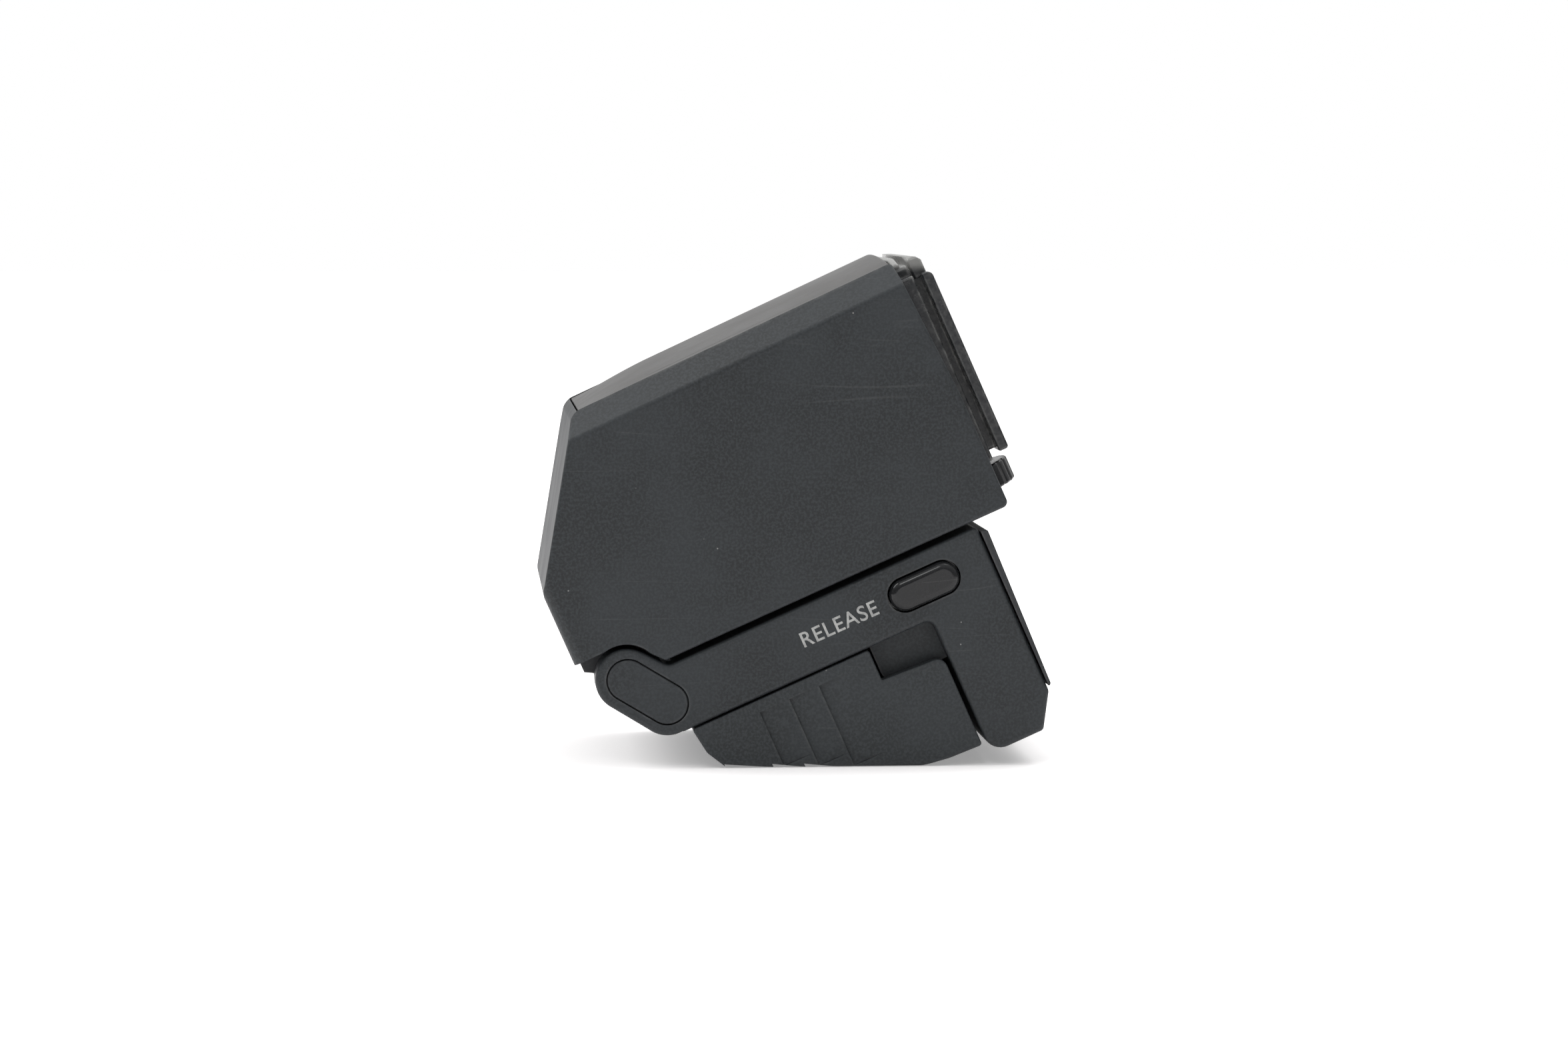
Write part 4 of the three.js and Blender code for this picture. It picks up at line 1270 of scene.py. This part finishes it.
    def top_cover(self) -> None:
        """The painted cover let into the top, crowned across and rolled down at its front end."""
        low, high = unit_box("head_top_cover")
        half = high.y
        mesh = bmesh.new()
        bmesh.ops.create_grid(mesh, x_segments=40, y_segments=24, size=0.5)
        bmesh.ops.scale(mesh, vec=(high.x - low.x, 2 * half, 1), verts=mesh.verts[:])
        bmesh.ops.translate(mesh, vec=((low.x + high.x) / 2, 0, self.top_front), verts=mesh.verts[:])
        for vert in mesh.verts:
            ahead = max(0.0, 1 - (vert.co.x - low.x) / self.roll_length)
            arch = self.crown * (1 - (vert.co.y / half) ** 2)
            vert.co.z += arch * (1 - ahead ** 2) - self.roll_drop * ahead ** 2
        made = bmesh.ops.extrude_face_region(mesh, geom=mesh.faces[:])
        lower = [part for part in made["geom"] if isinstance(part, BMVert)]
        bmesh.ops.translate(mesh, vec=(0, 0, -self.cover_thick), verts=lower)
        bmesh.ops.recalc_face_normals(mesh, faces=mesh.faces[:])
        plate = Stock(mesh).rounded(EDGE_BREAK, lambda edge: middle(edge).z > self.top_front - 0.5)
        plate.turned(self.slope, self.top_corner)
        plate.cut(Stock.block((high.x - 0.02, 60), (-20, 20), (0, 40)))
        seated(plate, "head_top_plate", Finish.TOP, "head_top_cover")

    def build(self) -> None:
        """Builds the head's pieces in order."""
        self.housing()
        self.top_cover()
        refined("hinge_block", Finish.SATIN, 0.15)
        refined("display_holder", Finish.INNER, 0.1)
        refined("optics_tube", Finish.INNER, 0.08)
        refined("lens_barrel", Finish.SATIN, 0.08)
        for number in range(1, 5):
            refined(f"case_screw_{number}", Finish.STEEL, 0.05)


# ------------------------------------------------------------------ eyepiece


@dataclass
class Eyepiece:
    """The glossy frame round the rear window, with two rails for an eyecup and the diopter dial."""

    rim_front: float = 39.4
    rim_rear: float = 40.85
    neck_span: Span = (40.55, 42.2)
    front_lip: Span = (39.5, 40.2)
    rear_lip: Span = (40.95, 42.4)
    rail_foot: float = 41.68
    rail_face: float = 42.7
    rail_span: Span = (9.6, 13.3)
    wheel_centre: Span = (38.25, -9.0)
    wheel_radius: float = 4.2
    teeth: int = 24
    wheel_gap: float = 0.35
    nick_depth: float = 0.2
    disc_thick: float = 2.4
    disc_rounding: float = 0.26

    def frame_piece(self) -> None:
        """The frame: plug, rim, two brow lips with a groove between them, neck, rails and sill."""
        plug = [(-13.2, 4.6, 0.3), (13.2, 4.6, 0.3), (13.2, 24.0, 0.4), (-13.2, 24.0, 0.4)]
        rim = [(-13.2, 4.6, 0.3), (13.2, 4.6, 0.3), (13.2, 24.0, 0.3), (11.6, 24.0, 0), (11.6, 25.1, 0.5),
               (-11.6, 25.1, 0.5), (-11.6, 24.0, 0), (-13.2, 24.0, 0.3)]
        brow = [(-11.4, 23.4, 0), (11.4, 23.4, 0), (11.4, 25.5, 0.4), (9, 26.1, 3), (-9, 26.1, 3),
                (-11.4, 25.5, 0.4)]
        neck = [(-11.2, 5.4, 0.4), (11.2, 5.4, 0.4), (11.2, 25.0, 0.8), (-11.2, 25.0, 0.8)]
        rail = [(self.rail_foot, 5.1, 0.2), (self.rail_face, 5.1, 0.3), (self.rail_face, 23.8, 0.6),
                (self.rail_foot, 23.8, 0)]
        made = Stock.outline(plug, (38.2, 39.5), View.REAR)
        made.join(
            Stock.outline(rim, (self.rim_front, self.rim_rear), View.REAR).rounded(EDGE_BREAK),
            Stock.outline(neck, self.neck_span, View.REAR).rounded(EDGE_BREAK),
            Stock.outline(brow, self.front_lip, View.REAR).rounded(0.24),
            Stock.outline(brow, self.rear_lip, View.REAR).rounded(0.36),
            *[Stock.outline(rail, span).rounded(0.2) for span in both_sides(*self.rail_span)],
        )
        sill = Stock.block((38.3, 40.15), (-13.1, 13.1), (1.85, 4.8))
        dial_room = self.wheel_radius + self.wheel_gap
        sill.cut(Stock.rod(self.wheel_centre, dial_room, (1, 4.5), View.PLAN, ROUND_SIDES))
        made.join(sill)
        slope = [(39.3, 26.6, 0), (42.0, 25.45, 0), (43, 24.2, 0), (43, 28, 0), (39.5, 28, 0)]
        made.cut(Stock.outline(slope, (-14, 14)))
        opening = [(-10.2, 7.4, 1.2), (10.2, 7.4, 1.2), (10.2, 21.6, 1.2), (-10.2, 21.6, 1.2)]
        made.cut(
            Stock.outline(opening, (36, 44), View.REAR, steps=8),
            Stock.block((41.3, 44), (3.0, 8.0), (5.9, 6.9)),
            Stock.block((38, 40.45), (-11.4, -4.7), (4.43, 7.1)),
        )
        seated(made, "eyepiece_surround", Finish.EYEPIECE, "eyepiece_frame")

    def wheel(self) -> None:
        """The diopter dial: a milled rim with a tooth-like nick at each step, on its pinion boss."""
        low, high = unit_box("diopter_wheel")
        mesh = bmesh.new()
        bmesh.ops.create_circle(mesh, cap_ends=True, segments=self.teeth * 8, radius=self.wheel_radius)
        for vert in mesh.verts:
            turn = math.atan2(vert.co.y, vert.co.x) * self.teeth
            nick = max(0.0, math.cos(turn)) ** 4
            vert.co.xy *= 1 - self.nick_depth * nick / self.wheel_radius
        bmesh.ops.translate(mesh, vec=(*self.wheel_centre, low.z), verts=mesh.verts[:])
        disc = Stock(mesh).pulled(View.PLAN, self.disc_thick)
        centre = low.z + self.disc_thick / 2
        disc.rounded(self.disc_rounding, lambda edge: abs(middle(edge).z - centre) > 1.1)
        disc.join(Stock.rod(self.wheel_centre, 1.9, (low.z + 2, high.z), View.PLAN))
        seated(disc, "diopter_dial", Finish.GLOSS, "diopter_wheel")

    def build(self) -> None:
        """Builds the eyepiece's pieces in order."""
        self.frame_piece()
        self.wheel()
        refined("eyepiece_window", Finish.GLASS, 0.1)
        refined("eye_sensor_window", Finish.WINDOW, 0.06)


# ------------------------------------------------------------------ nodes that keep their CAD shape

KEPT = {
    Finish.STEEL: ["friction_washer_left", "friction_washer_right", "hinge_pin", "release_spring",
                   "lock_spring", "release_bar", "hinge_block_screw_left", "hinge_block_screw_right"],
    Finish.HOUSING: ["spring_post"],
    Finish.SATIN: ["connector_body"],
    Finish.GLOSS: ["arm_chip", "head_chip", "display_panel"],
    Finish.BOARD: ["leg_board", "arm_board", "head_board"],
    Finish.FLEX: ["arm_flex", "head_flex"],
    Finish.DIFFUSER: ["display_backlight"],
    Finish.GLASS: ["lens_front", "lens_rear"],
}


def dress_kept_nodes() -> None:
    """Gives the inner nodes that keep their CAD shape their finishes."""
    for finish, nodes in KEPT.items():
        for node in nodes:
            dress(frame["nodes"][node], finish)
            LOG.info("%s keeps its shape", node)


# ------------------------------------------------------------------ studio


@dataclass
class Studio:
    """A pale floor under soft light, and the camera."""

    yaw: float = 4.5
    pitch: float = 4.35
    distance: float = 0.4
    aim: tuple[float, float, float] = (-0.0014, -0.01485, 0.0236)
    lens: float = 96.2
    floor_glow: float = 0.27
    low_light: float = 0.24
    high_light: float = 0.85
    rear_light: float = 0.4

    def camera(self) -> None:
        """Places the camera a little to the left of the side view and a little above it."""
        yaw, pitch = math.radians(self.yaw), math.radians(self.pitch)
        ahead = Vector((math.sin(yaw) * math.cos(pitch), math.cos(yaw) * math.cos(pitch), -math.sin(pitch)))
        data = bpy.data.cameras.new("camera")
        data.lens = self.lens
        data.sensor_width = 36.0
        data.clip_start = 0.01
        data.clip_end = 20.0
        camera = bpy.data.objects.new("camera", data)
        camera.location = Vector(self.aim) - ahead * self.distance
        camera.rotation_euler = ahead.to_track_quat("-Z", "Y").to_euler()
        bpy.context.scene.collection.objects.link(camera)
        bpy.context.scene.camera = camera

    def floor(self) -> None:
        """A wide matt paper floor."""
        mesh = bmesh.new()
        bmesh.ops.create_grid(mesh, x_segments=8, y_segments=8, size=3.0)
        sheet = as_object("studio_floor", mesh)
        made, tree, place = new_material("paper_white")
        fibre = stepped(tree, noise(tree, place, 30.0, 4.0), 0.3, 0.7)
        base = mixed(tree, fibre, linear("f2f0f0"), linear("f7f5f5"))
        paper = close_material(made, {
            "Base Color": base, "Roughness": 0.9, "Specular IOR Level": 0.2,
            "Emission Color": linear("ffffff"), "Emission Strength": self.floor_glow,
        })
        sheet.data.materials.append(paper)

    def world(self) -> None:
        """An overexposed white room: bright behind and above, dimmer where the camera stands."""
        room = bpy.data.worlds.new("room")
        room.use_nodes = True
        tree = room.node_tree
        tree.nodes.clear()
        way = add_node(tree, "TexCoord", {}).outputs["Generated"]
        parts = add_node(tree, "SeparateXYZ", {0: way})
        above = stepped(tree, parts.outputs[2], -0.05, 0.9, self.low_light, self.high_light)
        behind = stepped(tree, parts.outputs[1], -0.1, 0.8, 0.0, self.rear_light)
        light = add_node(tree, "Math", {0: above, 1: behind}, operation="ADD").outputs[0]
        seen = add_node(tree, "LightPath", {}).outputs["Is Camera Ray"]
        strength = add_node(tree, "Mix", {0: seen, 2: light, 3: 1.0}).outputs[0]
        back = add_node(tree, "Background", {"Color": linear("ffffff"), "Strength": strength})
        add_node(tree, "OutputWorld", {"Surface": back.outputs[0]})
        bpy.context.scene.world = room

    def lamp(self, name: str, place: Sequence[float], size: float, power: float) -> None:
        """Hangs a soft square lamp that looks at the unit.

        Args:
            name: The lamp's name.
            place: Where it hangs, in metres.
            size: Its width and height.
            power: Its power in watts.
        """
        data = bpy.data.lights.new(name, "AREA")
        data.shape = "SQUARE"
        data.size = size
        data.energy = power
        lamp = bpy.data.objects.new(name, data)
        lamp.location = place
        lamp.rotation_euler = (Vector((0, 0, 0.02)) - Vector(place)).to_track_quat("-Z", "Y").to_euler()
        bpy.context.scene.collection.objects.link(lamp)

    def build(self) -> None:
        """Sets up the camera, the floor and the light."""
        self.camera()
        self.floor()
        self.world()
        self.lamp("overhead", (0.3, 0.3, 1.1), 0.9, 6.0)
        self.lamp("edge", (-0.7, 0.1, 0.7), 0.5, 5.0)
        self.lamp("fill", (-0.3, -0.75, 0.9), 0.22, 1.0)
        bpy.context.scene.view_settings.view_transform = "Standard"


def main() -> None:
    """Builds the unit's sub-assemblies in order, then the studio."""
    logging.basicConfig(level=logging.INFO, format="%(message)s")
    for assembly in (Base(), ShoeCover(), Head(), Eyepiece()):
        assembly.build()
        LOG.info("%s done", type(assembly).__name__)
    dress_kept_nodes()
    Studio().build()


if __name__ == "__main__":
    main()
